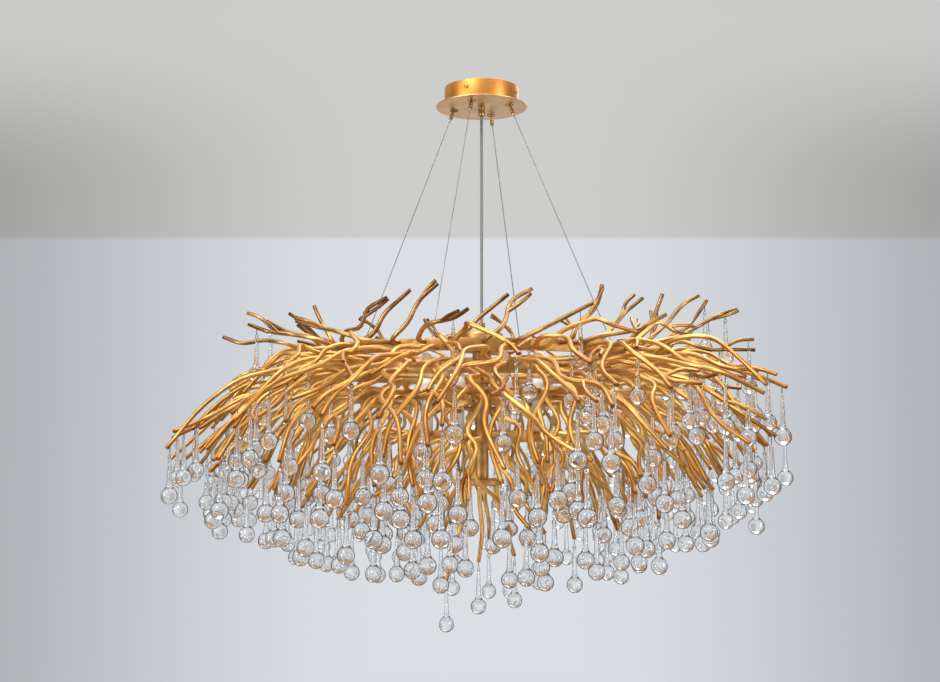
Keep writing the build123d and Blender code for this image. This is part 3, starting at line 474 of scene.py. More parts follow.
def softened(outline: Outline, radius: float, steps: int = 3, closed: bool = False) -> Outline:
    """Round every corner of a turned profile a little.

    Args:
        outline: Corners as radius and height.
        radius: Rounding, at most a fixed share of the shorter side.
        steps: Number of short sides on each rounded corner.
        closed: Whether the last corner joins the first.

    Returns:
        The profile with rounded corners.
    """
    p = [np.array(q, float) for q in outline]
    out: list[np.ndarray] = []
    for k, corner in enumerate(p):
        if not closed and k in (0, len(p) - 1):
            out.append(corner)
            continue
        back, ahead = p[k - 1] - corner, p[(k + 1) % len(p)] - corner
        cut = min(radius, SIDE_SHARE * np.linalg.norm(back), SIDE_SHARE * np.linalg.norm(ahead))
        a = corner + back / np.linalg.norm(back) * cut
        b = corner + ahead / np.linalg.norm(ahead) * cut
        for s in np.linspace(0, 1, steps + 1):
            out.append((1 - s) ** 2 * a + 2 * s * (1 - s) * corner + s * s * b)
    return [(float(q[0]), float(q[1])) for q in out]


class Shape:
    """Vertices and faces of one piece, gathered in millimetres."""

    def __init__(self) -> None:
        """Start with nothing."""
        self.points: list[Sequence[float]] = []
        self.faces: list[Sequence[int]] = []

    def lathe(self, profile: Outline, place: Matrix = Matrix.Identity(4), sides: int = 48,
              closed: bool = False) -> "Shape":
        """Turn a profile round its own +Z.

        Args:
            profile: Radius and height of each corner; a radius of nought is a pole.
            place: Where the turned form goes.
            sides: Number of sides round the form.
            closed: Whether the profile is a loop, as on a ring or a bush.

        Returns:
            The shape itself.
        """
        rings: list[list[int]] = []
        for r, z in profile:
            count = 1 if r < 1e-6 else sides
            start = len(self.points)
            for k in range(count):
                a = 2 * math.pi * k / sides
                self.points.append(place @ Vector((r * math.cos(a), r * math.sin(a), z)))
            rings.append([start + k for k in range(count)])
        pairs = list(zip(rings, rings[1:])) + ([(rings[-1], rings[0])] if closed else [])
        for one, two in pairs:
            for k in range(sides):
                quad = [one[k % len(one)], one[(k + 1) % len(one)], two[(k + 1) % len(two)], two[k % len(two)]]
                corners = list(dict.fromkeys(quad))
                if len(corners) > 2:
                    self.faces.append(corners)
        return self

    def rod(self, start: Sequence[float], end: Sequence[float], radius: float, sides: int = 12) -> "Shape":
        """Straight round rod between two points, closed at both ends."""
        length = (Vector(end) - Vector(start)).length
        return self.lathe([(0, 0), (radius, 0), (radius, length), (0, length)], aimed(start, end), sides)

    def prism(self, outline: Outline, low: float, high: float, place: Matrix = Matrix.Identity(4)) -> "Shape":
        """Flat outline raised between two heights."""
        start, n = len(self.points), len(outline)
        for z in (low, high):
            self.points += [place @ Vector((x, y, z)) for x, y in outline]
        self.faces.append([start + k for k in reversed(range(n))])
        self.faces.append([start + n + k for k in range(n)])
        self.faces += [[start + k, start + (k + 1) % n, start + n + (k + 1) % n, start + n + k] for k in range(n)]
        return self

    def object(self, name: str, finish: Finish, sharp: float = SHARP) -> bpy.types.Object:
        """Make the Blender object, smooth apart from its sharp edges, with outward faces."""
        mesh = bpy.data.meshes.new(name)
        mesh.from_pydata([tuple(c * MM for c in p) for p in self.points], [], [list(f) for f in self.faces])
        return finished(mesh, name, finish, sharp)


def finished(mesh: bpy.types.Mesh, name: str, finish: Finish, sharp: float = SHARP) -> bpy.types.Object:
    """Put a mesh in the scene with smooth faces, outward normals and its finish.

    Args:
        mesh: The mesh, in metres and in place.
        name: Name of the new object.
        finish: Finish of all its faces.
        sharp: Edges that turn by more degrees than this stay sharp.

    Returns:
        The new object.
    """
    work = bmesh.new()
    work.from_mesh(mesh)
    bmesh.ops.recalc_face_normals(work, faces=work.faces)
    work.to_mesh(mesh)
    work.free()
    mesh.shade_smooth()
    mesh.set_sharp_from_angle(angle=math.radians(sharp))
    mesh.materials.clear()
    mesh.materials.append(finish.material())
    made = bpy.data.objects.new(name, mesh)
    bpy.context.scene.collection.objects.link(made)
    return made


def place(piece: bpy.types.Object, body: str, slot: str, *nodes: str) -> bpy.types.Object:
    """Let a piece ride on its body and stand for its nodes, and report it."""
    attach(piece, body)
    if nodes:
        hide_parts(*nodes)
    log.info("%s rides on %s, %d faces", piece.name, body, len(piece.data.polygons))
    return piece


def dress(node: str, finish: Finish) -> None:
    """Give a CAD node's own mesh a finish."""
    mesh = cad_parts[node].data
    mesh.materials.clear()
    mesh.materials.append(finish.material())
    log.info("%s keeps its own form in %s", node, finish.name)


class Grower:
    """Geometry Nodes trees that turn lines into bars and points into copies of a shape."""

    bar_sharp = 50.0
    lot_step = 0.618
    lot_seed = 0.37

    def __init__(self) -> None:
        """Build both trees once."""
        self.bars, self.bar_sockets = self._bars()
        self.copies, self.copy_sockets = self._copies()

    def _start(self, name: str) -> tuple[bpy.types.NodeTree, NodeSheet, dict[str, str]]:
        """Empty tree with geometry in and out."""
        tree = bpy.data.node_groups.new(name, "GeometryNodeTree")
        ids = {"Geometry": socket(tree, "Geometry", "Geometry")}
        socket(tree, "Geometry", "Geometry", out=True)
        return tree, NodeSheet(tree), ids

    def _end(self, sheet: NodeSheet, shape: bpy.types.NodeSocket, material: bpy.types.NodeSocket) -> None:
        """Close a tree with Realize Instances and Set Material."""
        whole = sheet.add("GeometryNodeRealizeInstances", Geometry=shape)
        coated = sheet.add("GeometryNodeSetMaterial", Geometry=whole.outputs[0], Material=material)
        sheet.add("NodeGroupOutput", Geometry=coated.outputs[0])

    def _bars(self) -> tuple[bpy.types.NodeTree, dict[str, str]]:
        """Tree that grows a bar of uneven thickness along each line."""
        tree, sheet, ids = self._start("bars_along_lines")
        ids["Ring Pitch"] = socket(tree, "Ring Pitch", "Float", 0.01)
        ids["Sides"] = socket(tree, "Sides", "Int", 8)
        ids["Knots"] = socket(tree, "Knots", "Float", 0.2)
        ids["Knot Scale"] = socket(tree, "Knot Scale", "Float", 60.0)
        ids["Seed"] = socket(tree, "Seed", "Float", 3.0)
        ids["Finish"] = socket(tree, "Finish", "Material")
        given = tree.nodes.new("NodeGroupInput").outputs
        line = sheet.add("GeometryNodeMeshToCurve", Mesh=given["Geometry"])
        even = sheet.add("GeometryNodeResampleCurve", mode="LENGTH", Curve=line.outputs[0],
                         Length=given["Ring Pitch"])
        thick = sheet.add("GeometryNodeInputNamedAttribute", data_type="FLOAT", Name="thick").outputs["Attribute"]
        at = sheet.add("GeometryNodeInputPosition").outputs[0]
        lumps = sheet.add("ShaderNodeTexNoise", noise_dimensions="4D", Vector=at, W=given["Seed"],
                          Scale=given["Knot Scale"], Detail=1.0).outputs[0]
        swell = sheet.math("MULTIPLY", sheet.math("SUBTRACT", lumps, 0.5), given["Knots"])
        scale = sheet.math("MULTIPLY", thick, sheet.math("ADD", swell, 1.0))
        ring = sheet.add("GeometryNodeCurvePrimitiveCircle", Resolution=given["Sides"], Radius=1.0)
        marked = sheet.add("GeometryNodeStoreNamedAttribute", data_type="FLOAT_VECTOR", Geometry=ring.outputs[0],
                           Name="round")
        sheet.feed(next(i for i in marked.inputs if i.name == "Value" and i.enabled), at)
        bar = sheet.add("GeometryNodeCurveToMesh", Curve=even.outputs[0], Profile_Curve=marked.outputs[0],
                        Scale=scale, Fill_Caps=True)
        self._end(sheet, bar.outputs[0], given["Finish"])
        return tree, ids

    def _copies(self) -> tuple[bpy.types.NodeTree, dict[str, str]]:
        """Tree that sets a copy of a shape on each point, turned about the vertical."""
        tree, sheet, ids = self._start("copies_on_points")
        ids["Shape"] = socket(tree, "Shape", "Object")
        ids["Finish"] = socket(tree, "Finish", "Material")
        given = tree.nodes.new("NodeGroupInput").outputs
        turn = sheet.add("GeometryNodeInputNamedAttribute", data_type="FLOAT", Name="turn").outputs["Attribute"]
        euler = sheet.add("ShaderNodeCombineXYZ", X=0.0, Y=0.0, Z=turn)
        rotation = sheet.add("FunctionNodeEulerToRotation", Euler=euler.outputs[0])
        shape = sheet.add("GeometryNodeObjectInfo", Object=given["Shape"], As_Instance=True)
        copies = sheet.add("GeometryNodeInstanceOnPoints", Points=given["Geometry"],
                           Instance=shape.outputs["Geometry"], Rotation=rotation.outputs[0])
        self._end(sheet, copies.outputs[0], given["Finish"])
        return tree, ids

    def _run(self, mesh: bpy.types.Mesh, tree: bpy.types.NodeTree, values: dict[str, object], name: str,
             finish: Finish, sharp: float) -> bpy.types.Object:
        """Evaluate a tree on a mesh and keep the result as a plain object."""
        seedbed = bpy.data.objects.new(name + "_seedbed", mesh)
        bpy.context.scene.collection.objects.link(seedbed)
        step = seedbed.modifiers.new("grow", "NODES")
        step.node_group = tree
        for identifier, value in values.items():
            step[identifier] = value
        graph = bpy.context.evaluated_depsgraph_get()
        grown = bpy.data.meshes.new_from_object(seedbed.evaluated_get(graph))
        seedbed.modifiers.remove(step)
        bpy.data.objects.remove(seedbed)
        bpy.data.meshes.remove(mesh)
        grown.name = name
        return finished(grown, name, finish, sharp)

    def along(self, lines: Iterable["Branch"], name: str, finish: Finish, pitch: float = 9.0, sides: int = 8,
              knots: float = 0.22, seed: float = 3.0) -> bpy.types.Object:
        """Grow bars along branch lines.

        Args:
            lines: The branches, in millimetres.
            name: Name of the new object.
            finish: Finish of the bars.
            pitch: Distance between rings of vertices.
            sides: Sides of each bar.
            knots: Share by which the thickness swells and narrows.
            seed: Fixed seed of the swelling.

        Returns:
            One plain mesh object.
        """
        points: list[Point] = []
        edges: list[tuple[int, int]] = []
        thick: list[float] = []
        along: list[float] = []
        lot: list[float] = []
        for number, branch in enumerate(lines):
            start, n = len(points), len(branch.line)
            points += [tuple(float(c) * MM for c in p) for p in branch.line]
            edges += [(start + k, start + k + 1) for k in range(n - 1)]
            shares = branch.shares()
            thick += [MM * (branch.root_r + (branch.tip_r - branch.root_r) * s) for s in shares]
            along += [branch.from_share + (1 - branch.from_share) * s for s in shares]
            lot += [(self.lot_step * number + self.lot_seed * seed) % 1.0] * n
        mesh = bpy.data.meshes.new(name + "_lines")
        mesh.from_pydata(points, edges, [])
        for label, values in (("thick", thick), ("along", along), ("lot", lot)):
            mesh.attributes.new(label, "FLOAT", "POINT").data.foreach_set("value", values)
        ids = self.bar_sockets
        values = {ids["Ring Pitch"]: pitch * MM, ids["Sides"]: sides, ids["Knots"]: knots, ids["Seed"]: seed,
                  ids["Finish"]: finish.material()}
        return self._run(mesh, self.bars, values, name, finish, self.bar_sharp)

    def on(self, spots: list[tuple[Point, float]], shape: Shape, name: str, finish: Finish,
           sharp: float = SHARP) -> bpy.types.Object:
        """Set copies of a shape on points.

        Args:
            spots: Place in millimetres and turn in degrees of each copy.
            shape: The shape, about its own origin.
            name: Name of the new object.
            finish: Finish of the copies.
            sharp: Edges that turn by more degrees than this stay sharp.

        Returns:
            One plain mesh object.
        """
        model = shape.object(name + "_model", finish, sharp)
        mesh = bpy.data.meshes.new(name + "_points")
        mesh.from_pydata([tuple(c * MM for c in p) for p, _ in spots], [], [])
        turns = [math.radians(t) for _, t in spots]
        mesh.attributes.new("turn", "FLOAT", "POINT").data.foreach_set("value", turns)
        ids = self.copy_sockets
        values = {ids["Shape"]: model, ids["Finish"]: finish.material()}
        made = self._run(mesh, self.copies, values, name, finish, sharp)
        bpy.data.objects.remove(model)
        return made


@dataclass
class Branch:
    """One line of a twig or fork with its radius at both ends and the share of the tones it starts at."""

    line: list[np.ndarray]
    root_r: float
    tip_r: float
    from_share: float = 0.0

    def shares(self) -> list[float]:
        """Share of the length that lies before each point of the line."""
        steps = [float(np.linalg.norm(b - a)) for a, b in zip(self.line, self.line[1:])]
        run = np.concatenate([[0.0], np.cumsum(steps)])
        return [float(r / run[-1]) for r in run]


class Thicket:
    """Room already taken by twigs and drops, kept as straight round bars."""

    def __init__(self, reach: float) -> None:
        """Start empty, with the widest gap that is ever asked for."""
        self.start = np.empty((0, 3))
        self.end = np.empty((0, 3))
        self.radius = np.empty(0)
        self.reach = reach

    def add(self, points: Sequence[Sequence[float]], radius: float) -> None:
        """Take the room of a bar bent through the points."""
        p = np.array(points, float)
        self.start = np.vstack([self.start, p[:-1]])
        self.end = np.vstack([self.end, p[1:]])
        self.radius = np.append(self.radius, np.full(len(p) - 1, radius))

    def room(self, points: Sequence[Sequence[float]], radii: Sequence[float],
             bar: object = slice(None)) -> float:
        """Least free distance from balls at the points to the bars.

        Args:
            points: Centres of the balls.
            radii: Their radii, or one radius for all.
            bar: Which of the bars count.

        Returns:
            The distance, or infinity where nothing is near.
        """
        p, r = np.array(points, float), np.array(radii, float)
        start, end, radius = self.start[bar], self.end[bar], self.radius[bar]
        if not len(start):
            return math.inf
        reach = r.max() + radius.max() + self.reach
        low = np.minimum(start, end) <= p.max(0) + reach
        high = np.maximum(start, end) >= p.min(0) - reach
        near = (low & high).all(1)
        if not near.any():
            return math.inf
        a = start[near]
        d = end[near] - a
        to_point = p[:, None] - a
        share = (to_point * d).sum(2) / np.maximum((d * d).sum(1), 1e-9)
        apart = to_point - np.clip(share, 0, 1)[..., None] * d
        return float((np.linalg.norm(apart, axis=2) - r[:, None] - radius[near]).min())


@dataclass(frozen=True)
class DropSizes:
    """Sizes of a glass drop and of the wire eye that carries it, in millimetres."""

    eye_r: float = 3.4
    eye_wire: float = 1.0
    eye_neck: float = 7.0
    length: float = 68.0
    ball_r: float = 12.5
    join_r: float = 6.2
    flare: float = 8.0
    stem_top_r: float = 2.3
    stem_low_r: float = 3.7
    tab_r: float = 3.0
    tab_t: float = 2.6
    hole_r: float = 1.5
    gap: float = 2.4
    swing: float = 30.0
    stem_balls: int = 8

    @property
    def eye_depth(self) -> float:
        """Depth of the eye's centre under the twig."""
        return self.eye_neck + self.eye_r - self.eye_wire / 2

    @property
    def hole_depth(self) -> float:
        """Depth of the drop's hole under the twig."""
        return self.eye_depth + self.eye_r - self.eye_wire / 2

    @property
    def ball_depth(self) -> float:
        """Depth of the ball's centre under the hole."""
        return self.length - self.ball_r


DROP = DropSizes()


@dataclass(eq=False)
class Hanging:
    """A drop's place: under a point of a twig, turned to the twig's heading."""

    tier: str
    place: Point
    heading: float

    def turn(self) -> float:
        """Turn of the drop round the crown, from 0 to 360 degrees."""
        return math.degrees(math.atan2(self.place[1], self.place[0])) % 360

    def reach(self) -> float:
        """Distance of the drop from the crown's axis."""
        return math.hypot(self.place[0], self.place[1])

    def hole(self) -> Point:
        """Centre of the drop's hole."""
        x, y, z = self.place
        return (float(x), float(y), float(z) - DROP.hole_depth)

    def balls(self, swing: float = 0.0) -> tuple[list[Point], list[float]]:
        """Points down the drop and their radii, leaned by a swing in degrees."""
        x, y, z = self.place
        lean, turn = math.radians(swing), math.radians(self.heading)
        stem = np.linspace(DROP.tab_r, DROP.ball_depth - DROP.ball_r, DROP.stem_balls)
        depths = list(stem) + [DROP.ball_depth]
        radii = [DROP.stem_low_r] * DROP.stem_balls + [DROP.ball_r]
        at = [(x + d * math.sin(lean) * math.cos(turn), y + d * math.sin(lean) * math.sin(turn),
               z - DROP.hole_depth - d * math.cos(lean)) for d in depths]
        if not swing:
            at.append((x, y, z - DROP.eye_depth))
            radii.append(DROP.eye_r)
        return at, radii


@dataclass
class Twig:
    """A bent bar, the forks brazed on it, and where its drops hang."""

    points: list[Point]
    forks: list[list[np.ndarray]] = field(default_factory=list)
    eyes: list[Hanging] = field(default_factory=list)


@dataclass(frozen=True)
class Row:
    """A row of twigs round one rim, in sprays whose tips fan out.

    Lengths are in millimetres and angles in degrees. The heights of the tips are those at the furthest and at the
    nearest reach. The twist lifts one side of each spray, and the side rise lifts the tips towards +X.
    """

    name: str
    rim_r: float
    root_z: float
    sprays: int
    per_spray: int
    reach: Span
    tip_z: Span
    bow: float
    fan: float
    twist: float
    shift: float
    fork_every: int
    drops: int
    side_rise: float


HIGH, LOW = LAYOUT.rim_h / 4, LAYOUT.rim_h * 3 / 4
(UPPER_R, UPPER_Z), (MIDDLE_R, MIDDLE_Z) = LAYOUT.upper[:2], LAYOUT.middle[:2]
(LOWER_R, LOWER_Z), (BOTTOM_R, BOTTOM_Z) = LAYOUT.lower[:2], LAYOUT.bottom[:2]
ROWS = [
    Row("shoulder", UPPER_R, UPPER_Z - LOW, 12, 4, (330, 430), (-498, -452), 14, 44, 12, 0.5, 3, 2, 22),
    Row("upper", MIDDLE_R, MIDDLE_Z - HIGH, 13, 4, (424, 506), (-536, -520), 26, 36, -16, 0.0, 3, 2, 34),
    Row("middle", MIDDLE_R, MIDDLE_Z - LOW, 13, 4, (420, 504), (-580, -610), 26, 32, -14, 0.5, 3, 2, 14),
    Row("skirt", LOWER_R, LOWER_Z - HIGH, 12, 4, (360, 462), (-612, -650), 30, 36, 14, 0.0, 4, 2, 0),
    Row("lower", LOWER_R, LOWER_Z - LOW, 10, 4, (290, 388), (-644, -686), 22, 38, 10, 0.5, 4, 3, 0),
    Row("under", BOTTOM_R, BOTTOM_Z - HIGH, 8, 4, (212, 292), (-680, -710), 14, 46, -8, 0.0, 5, 3, 0),
    Row("bottom", BOTTOM_R, BOTTOM_Z - LOW, 5, 3, (160, 206), (-700, -726), 8, 50, -6, 0.5, 9, 3, 0),
]
# Turn, reach and height of each tip.
CREST_TIPS = [
    (254.7, 244, -353), (245.4, 250, -361), (238.0, 262, -372), (229.7, 262, -382), (214.0, 330, -402),
    (201.4, 278, -371), (193.0, 372, -398), (188.4, 411, -416), (178.0, 352, -384), (169.5, 329, -366),
    (159.3, 344, -369), (148.0, 390, -402), (137.0, 300, -362), (124.0, 352, -388), (111.0, 292, -356),
    (99.0, 336, -380), (86.0, 286, -350), (73.0, 348, -384), (60.0, 300, -360), (47.0, 378, -396),
    (35.0, 330, -362), (23.0, 402, -392), (12.0, 291, -363), (6.0, 377, -347), (355.8, 408, -369),
    (348.0, 346, -352), (343.8, 431, -440), (336.0, 300, -355), (329.0, 280, -364), (320.0, 342, -396),
    (311.5, 262, -350), (300.0, 306, -384), (286.0, 250, -361), (278.0, 252, -370), (266.0, 318, -398),
]
TUFT_TIPS = [
    (205.0, 62, -798), (262.0, 40, -768), (320.0, 66, -758),
    (20.0, 48, -752), (80.0, 70, -760), (145.0, 58, -750),
]
LOW_TIERS = ("under", "bottom", "tuft")
Maker = Callable[[], list[Point]]


@dataclass
class Grove:
    """The crown's twigs, grown by one seeded rule so that none touches another.

    A pair of numbers is the range that a share, a length or an angle is drawn from, unless its name says otherwise.
    """

    twig_r: float = 3.5
    fork_r: float = 2.9
    foot: float = 24.0
    bend_share: float = 0.46
    straightest: float = 40.0
    fork_from: float = 0.58
    fork_angle: float = 26.0
    fork_lift: Span = (-0.4, 1.0)
    fork_out: float = 0.5
    fork_ahead: float = 0.42
    tightest: float = 2.2
    corner_pitch: float = 40.0
    most_corners: int = 4
    first_corner: float = 0.9
    wiggle: float = 19.0
    sway: Span = (0.4, 1.0)
    height_wiggle: float = 13.0
    fall_power: float = 1.35
    tries: int = 40
    seed: int = 11
    crest_lean: float = 19.0
    crest_sweep: Span = (0.5, 1.25)
    crest_bow: Span = (-6.0, 14.0)
    left_front_turns: Span = (180.0, 236.0)
    root_gaps: float = 3.0
    root_spread: Span = (1.0, 1.4)
    fan_spread: Span = (0.7, 1.3)
    tip_stray: Span = (-4.0, 4.0)
    height_stray: Span = (-0.3, 0.3)
    tip_twist: float = 0.6
    bow_spread: Span = (0.3, 1.4)
    tuft_inset: float = 0.4
    tuft_sway: Span = (-0.5, 0.5)
    tuft_out: float = 0.45
    tuft_down: float = 0.5
    braze_gap: float = 0.2
    branch_gap: float = 1.2
    tip_inset: float = 8.0
    drop_pitch: float = 33.0
    drop_step: float = 6.0
    drop_reach: float = 0.52
    crest_drops: int = 2
    tuft_drops: int = 1
    steepest: float = 52.0
    ring_step: int = 5
    swing_drops: int = 8
    swing_steps: int = 4
    twig_taper: Span = (1.1, 0.84)
    fork_taper: Span = (1.08, 0.9)
    fork_tone_from: float = 0.55
    tiers: dict[str, list[Twig]] = field(default_factory=dict)
    hangings: list[Hanging] = field(default_factory=list)
    swinging: list[Hanging] = field(default_factory=list)

    def __post_init__(self) -> None:
        """Grow the twigs, hang the drops and choose those that swing."""
        self.chance = random.Random(self.seed)
        self.thicket = Thicket(max(self.branch_gap, DROP.gap))
        self._grow()
        self._hang()
        self._choose_swinging()
        counts = {name: len(grown) for name, grown in self.tiers.items()}
        log.info("twigs %s, drops %d, swinging %d", counts, len(self.hangings), len(self.swinging))

    def bends(self, points: Sequence[Sequence[float]]) -> list[float]:
        """Radius of the bend at each corner of a twig."""
        radii = []
        p = [np.array(q, float) for q in points]
        for before, corner, after in zip(p, p[1:], p[2:]):
            u, v = corner - before, after - corner
            cut = self.bend_share * min(np.linalg.norm(u), np.linalg.norm(v))
            cosine = np.dot(u, v) / np.linalg.norm(u) / np.linalg.norm(v)
            turn = math.acos(max(-1.0, min(1.0, cosine)))
            radii.append(min(cut / math.tan(turn / 2), self.straightest * cut))
        return radii

    def rounded(self, points: Sequence[Sequence[float]], steps: int = 4) -> list[np.ndarray]:
        """Line of a twig with its bends, as points."""
        p = [np.array(q, float) for q in points]
        line = [p[0]]
        for before, corner, after, radius in zip(p, p[1:], p[2:], self.bends(points)):
            u = (corner - before) / np.linalg.norm(corner - before)
            v = (after - corner) / np.linalg.norm(after - corner)
            half = math.acos(max(-1.0, min(1.0, float(np.dot(u, v))))) / 2
            cut = radius * math.tan(half)
            a, b, w = corner - u * cut, corner + v * cut, math.cos(half)
            for k in range(steps + 1):
                s = k / steps
                weights = ((1 - s) ** 2, 2 * s * (1 - s) * w, s * s)
                line.append((weights[0] * a + weights[1] * corner + weights[2] * b) / sum(weights))
        line.append(p[-1])
        return line

    def dense(self, line: list[np.ndarray], step: float = 3.0) -> list[np.ndarray]:
        """The same line with points no further apart than the step."""
        out = []
        for a, b in zip(line, line[1:]):
            n = max(1, math.ceil(np.linalg.norm(b - a) / step))
            out += [a + (b - a) * k / n for k in range(n)]
        return out + [line[-1]]

    def twig_points(self, rim_r: float, root: float, root_z: float, tip: float, reach: float, tip_z: float,
                    bow: float) -> list[Point]:
        """Corners of a twig that leaves its rim square and wanders to its tip."""
        foot_r = rim_r + self.foot
        side = self.chance.choice((-1, 1))
        points = [polar(rim_r + self.braze_gap, root, root_z), polar(foot_r, root, root_z)]
        run = math.dist(points[-1], polar(reach, tip, tip_z))
        corners = max(1, min(self.most_corners, int(run / self.corner_pitch)))
        calm = min(1.0, run / (self.most_corners * self.corner_pitch))
        for share in [(k + self.first_corner) / (corners + self.first_corner) for k in range(corners)]:
            r = foot_r + (reach - foot_r) * share
            sway = math.degrees(side * calm * self.wiggle * self.chance.uniform(*self.sway) / r)
            z = root_z + (tip_z - root_z) * share**self.fall_power + bow * math.sin(math.pi * share)
            z += calm * self.height_wiggle * self.chance.uniform(-1, 1)
            points.append(polar(r, root + (tip - root) * share + sway, z))
            side = -side
        points.append(polar(reach, tip, tip_z))
        return points

    def fork_points(self, points: list[Point], angle: float) -> list[np.ndarray]:
        """A side twig that leaves the main one and bends back beside it."""
        a, b = np.array(points[-3], float), np.array(points[-2], float)
        start = a + (b - a) * self.fork_from
        ahead = np.array(points[-1], float) - start
        turn = math.radians(angle)
        flat = np.array([ahead[0] * math.cos(turn) - ahead[1] * math.sin(turn),
                         ahead[0] * math.sin(turn) + ahead[1] * math.cos(turn), ahead[2]])
        lift = np.array([0, 0, self.wiggle * self.chance.uniform(*self.fork_lift)])
        elbow = start + flat * self.fork_out + lift
        return [start, elbow, elbow + ahead * self.fork_ahead]

    def try_twig(self, make: Maker, fork: bool) -> Optional[Twig]:
        """Draw a twig until one is clear of all the others, or give it up."""
        for _ in range(self.tries):
            points = make()
            line = self.rounded(points)
            if min(self.bends(points)) < self.tightest * self.twig_r:
                continue
            if self.thicket.room(self.dense(line), [self.twig_r]) < self.branch_gap:
                continue
            twig = Twig(points)
            side = self.chance.choice((-1, 1))
            if fork:
                for angle in (side * self.fork_angle, -side * self.fork_angle):
                    branch = self.fork_points(points, angle)
                    clear = self.thicket.room(self.dense(self.rounded(branch)), [self.fork_r])
                    if clear >= self.branch_gap:
                        twig.forks.append(branch)
                        break
            self.thicket.add(line, self.twig_r)
            for branch in twig.forks:
                self.thicket.add(self.rounded(branch), self.fork_r)
            return twig
        return None

    def crest_twig(self, tip: float, reach: float, height: float) -> Maker:
        """Crest twig: rises from the upper rim and leans away from the middle."""

        def make() -> list[Point]:
            """Draw the corners once."""
            first, last = self.left_front_turns
            lean = self.crest_lean if first < tip % 360 < last else -self.crest_lean
            root = tip + lean * self.chance.uniform(*self.crest_sweep)
            rise = self.chance.uniform(*self.crest_bow)
            return self.twig_points(UPPER_R, root, UPPER_Z - HIGH, tip, reach, height, rise)

        return make

    def row_twig(self, row: Row, spray: int, number: int) -> Maker:
        """Twig of a spray: roots lie close together and the tips fan out."""
        middle = (spray + row.shift) * 360 / row.sprays
        across = number - (row.per_spray - 1) / 2
        root_pitch = math.degrees((2 * self.twig_r + self.root_gaps * self.branch_gap) / row.rim_r)

        def make() -> list[Point]:
            """Draw the corners once."""
            root = middle + across * root_pitch * self.chance.uniform(*self.root_spread)
            lean = 2 * across / (row.per_spray - 1)
            tip = middle + lean * row.fan / 2 * self.chance.uniform(*self.fan_spread)
            tip += self.chance.uniform(*self.tip_stray)
            reach = self.chance.uniform(*row.reach)
            spread = (reach - row.reach[0]) / (row.reach[1] - row.reach[0])
            deep = row.tip_z[1] + (row.tip_z[0] - row.tip_z[1]) * spread
            height = deep + self.chance.uniform(*self.height_stray) * abs(row.tip_z[1] - row.tip_z[0])
            height += self.tip_twist * row.twist * lean + row.side_rise * math.cos(math.radians(tip))
            bow = row.bow * self.chance.uniform(*self.bow_spread) + row.twist * lean
            return self.twig_points(row.rim_r, root, row.root_z, tip, reach, height, bow)

        return make

    def tuft_twig(self, tip: float, reach: float, height: float) -> Maker:
        """Tuft twig: drops from the end cap and splays a little."""
        root_z = LAYOUT.tube_end - LAYOUT.cap_t - self.braze_gap
        root_r = LAYOUT.cap_r - self.twig_r - LAYOUT.cap_t * self.tuft_inset

        def make() -> list[Point]:
            """Draw the corners once."""
            sway = math.degrees(self.wiggle * self.chance.uniform(*self.tuft_sway) / reach)
            middle_r = root_r + (reach - root_r) * self.tuft_out
            middle_z = root_z - self.foot + (height - root_z + self.foot) * self.tuft_down
            return [polar(root_r, tip, root_z), polar(root_r, tip, root_z - self.foot),
                    polar(middle_r, tip + sway, middle_z), polar(reach, tip, height)]

        return make

    def _grow(self) -> None:
        """Grow every tier from the crest down to the tuft."""
        crest = [self.try_twig(self.crest_twig(*tip), k % 2 == 0) for k, tip in enumerate(CREST_TIPS)]
        grown = {"crest": crest}
        for row in ROWS:
            grown[row.name] = [
                self.try_twig(self.row_twig(row, k // row.per_spray, k % row.per_spray), k % row.fork_every == 1)
                for k in range(row.sprays * row.per_spray)
            ]
        grown["tuft"] = [self.try_twig(self.tuft_twig(*tip), False) for tip in TUFT_TIPS]
        self.tiers = {name: [t for t in twigs if t] for name, twigs in grown.items()}

    def hang_under(self, tier: str, line: list[np.ndarray], radius: float, inset: float) -> Optional[Hanging]:
        """Place of a drop at a distance from the tip of a twig's line, or None."""
        back = [np.array(p, float) for p in reversed(line)]
        for a, b in zip(back, back[1:]):
            run = np.linalg.norm(b - a)
            if inset > run:
                inset -= run
                continue
            at = a + (b - a) * inset / run
            ahead = (a - b) / run
            level = math.hypot(ahead[0], ahead[1])
            heading = math.degrees(math.atan2(ahead[1], ahead[0]))
            if level < math.cos(math.radians(self.steepest)):
                return Hanging(tier, tuple(back[0]), heading)
            return Hanging(tier, (at[0], at[1], at[2] - radius / level), heading)
        return None

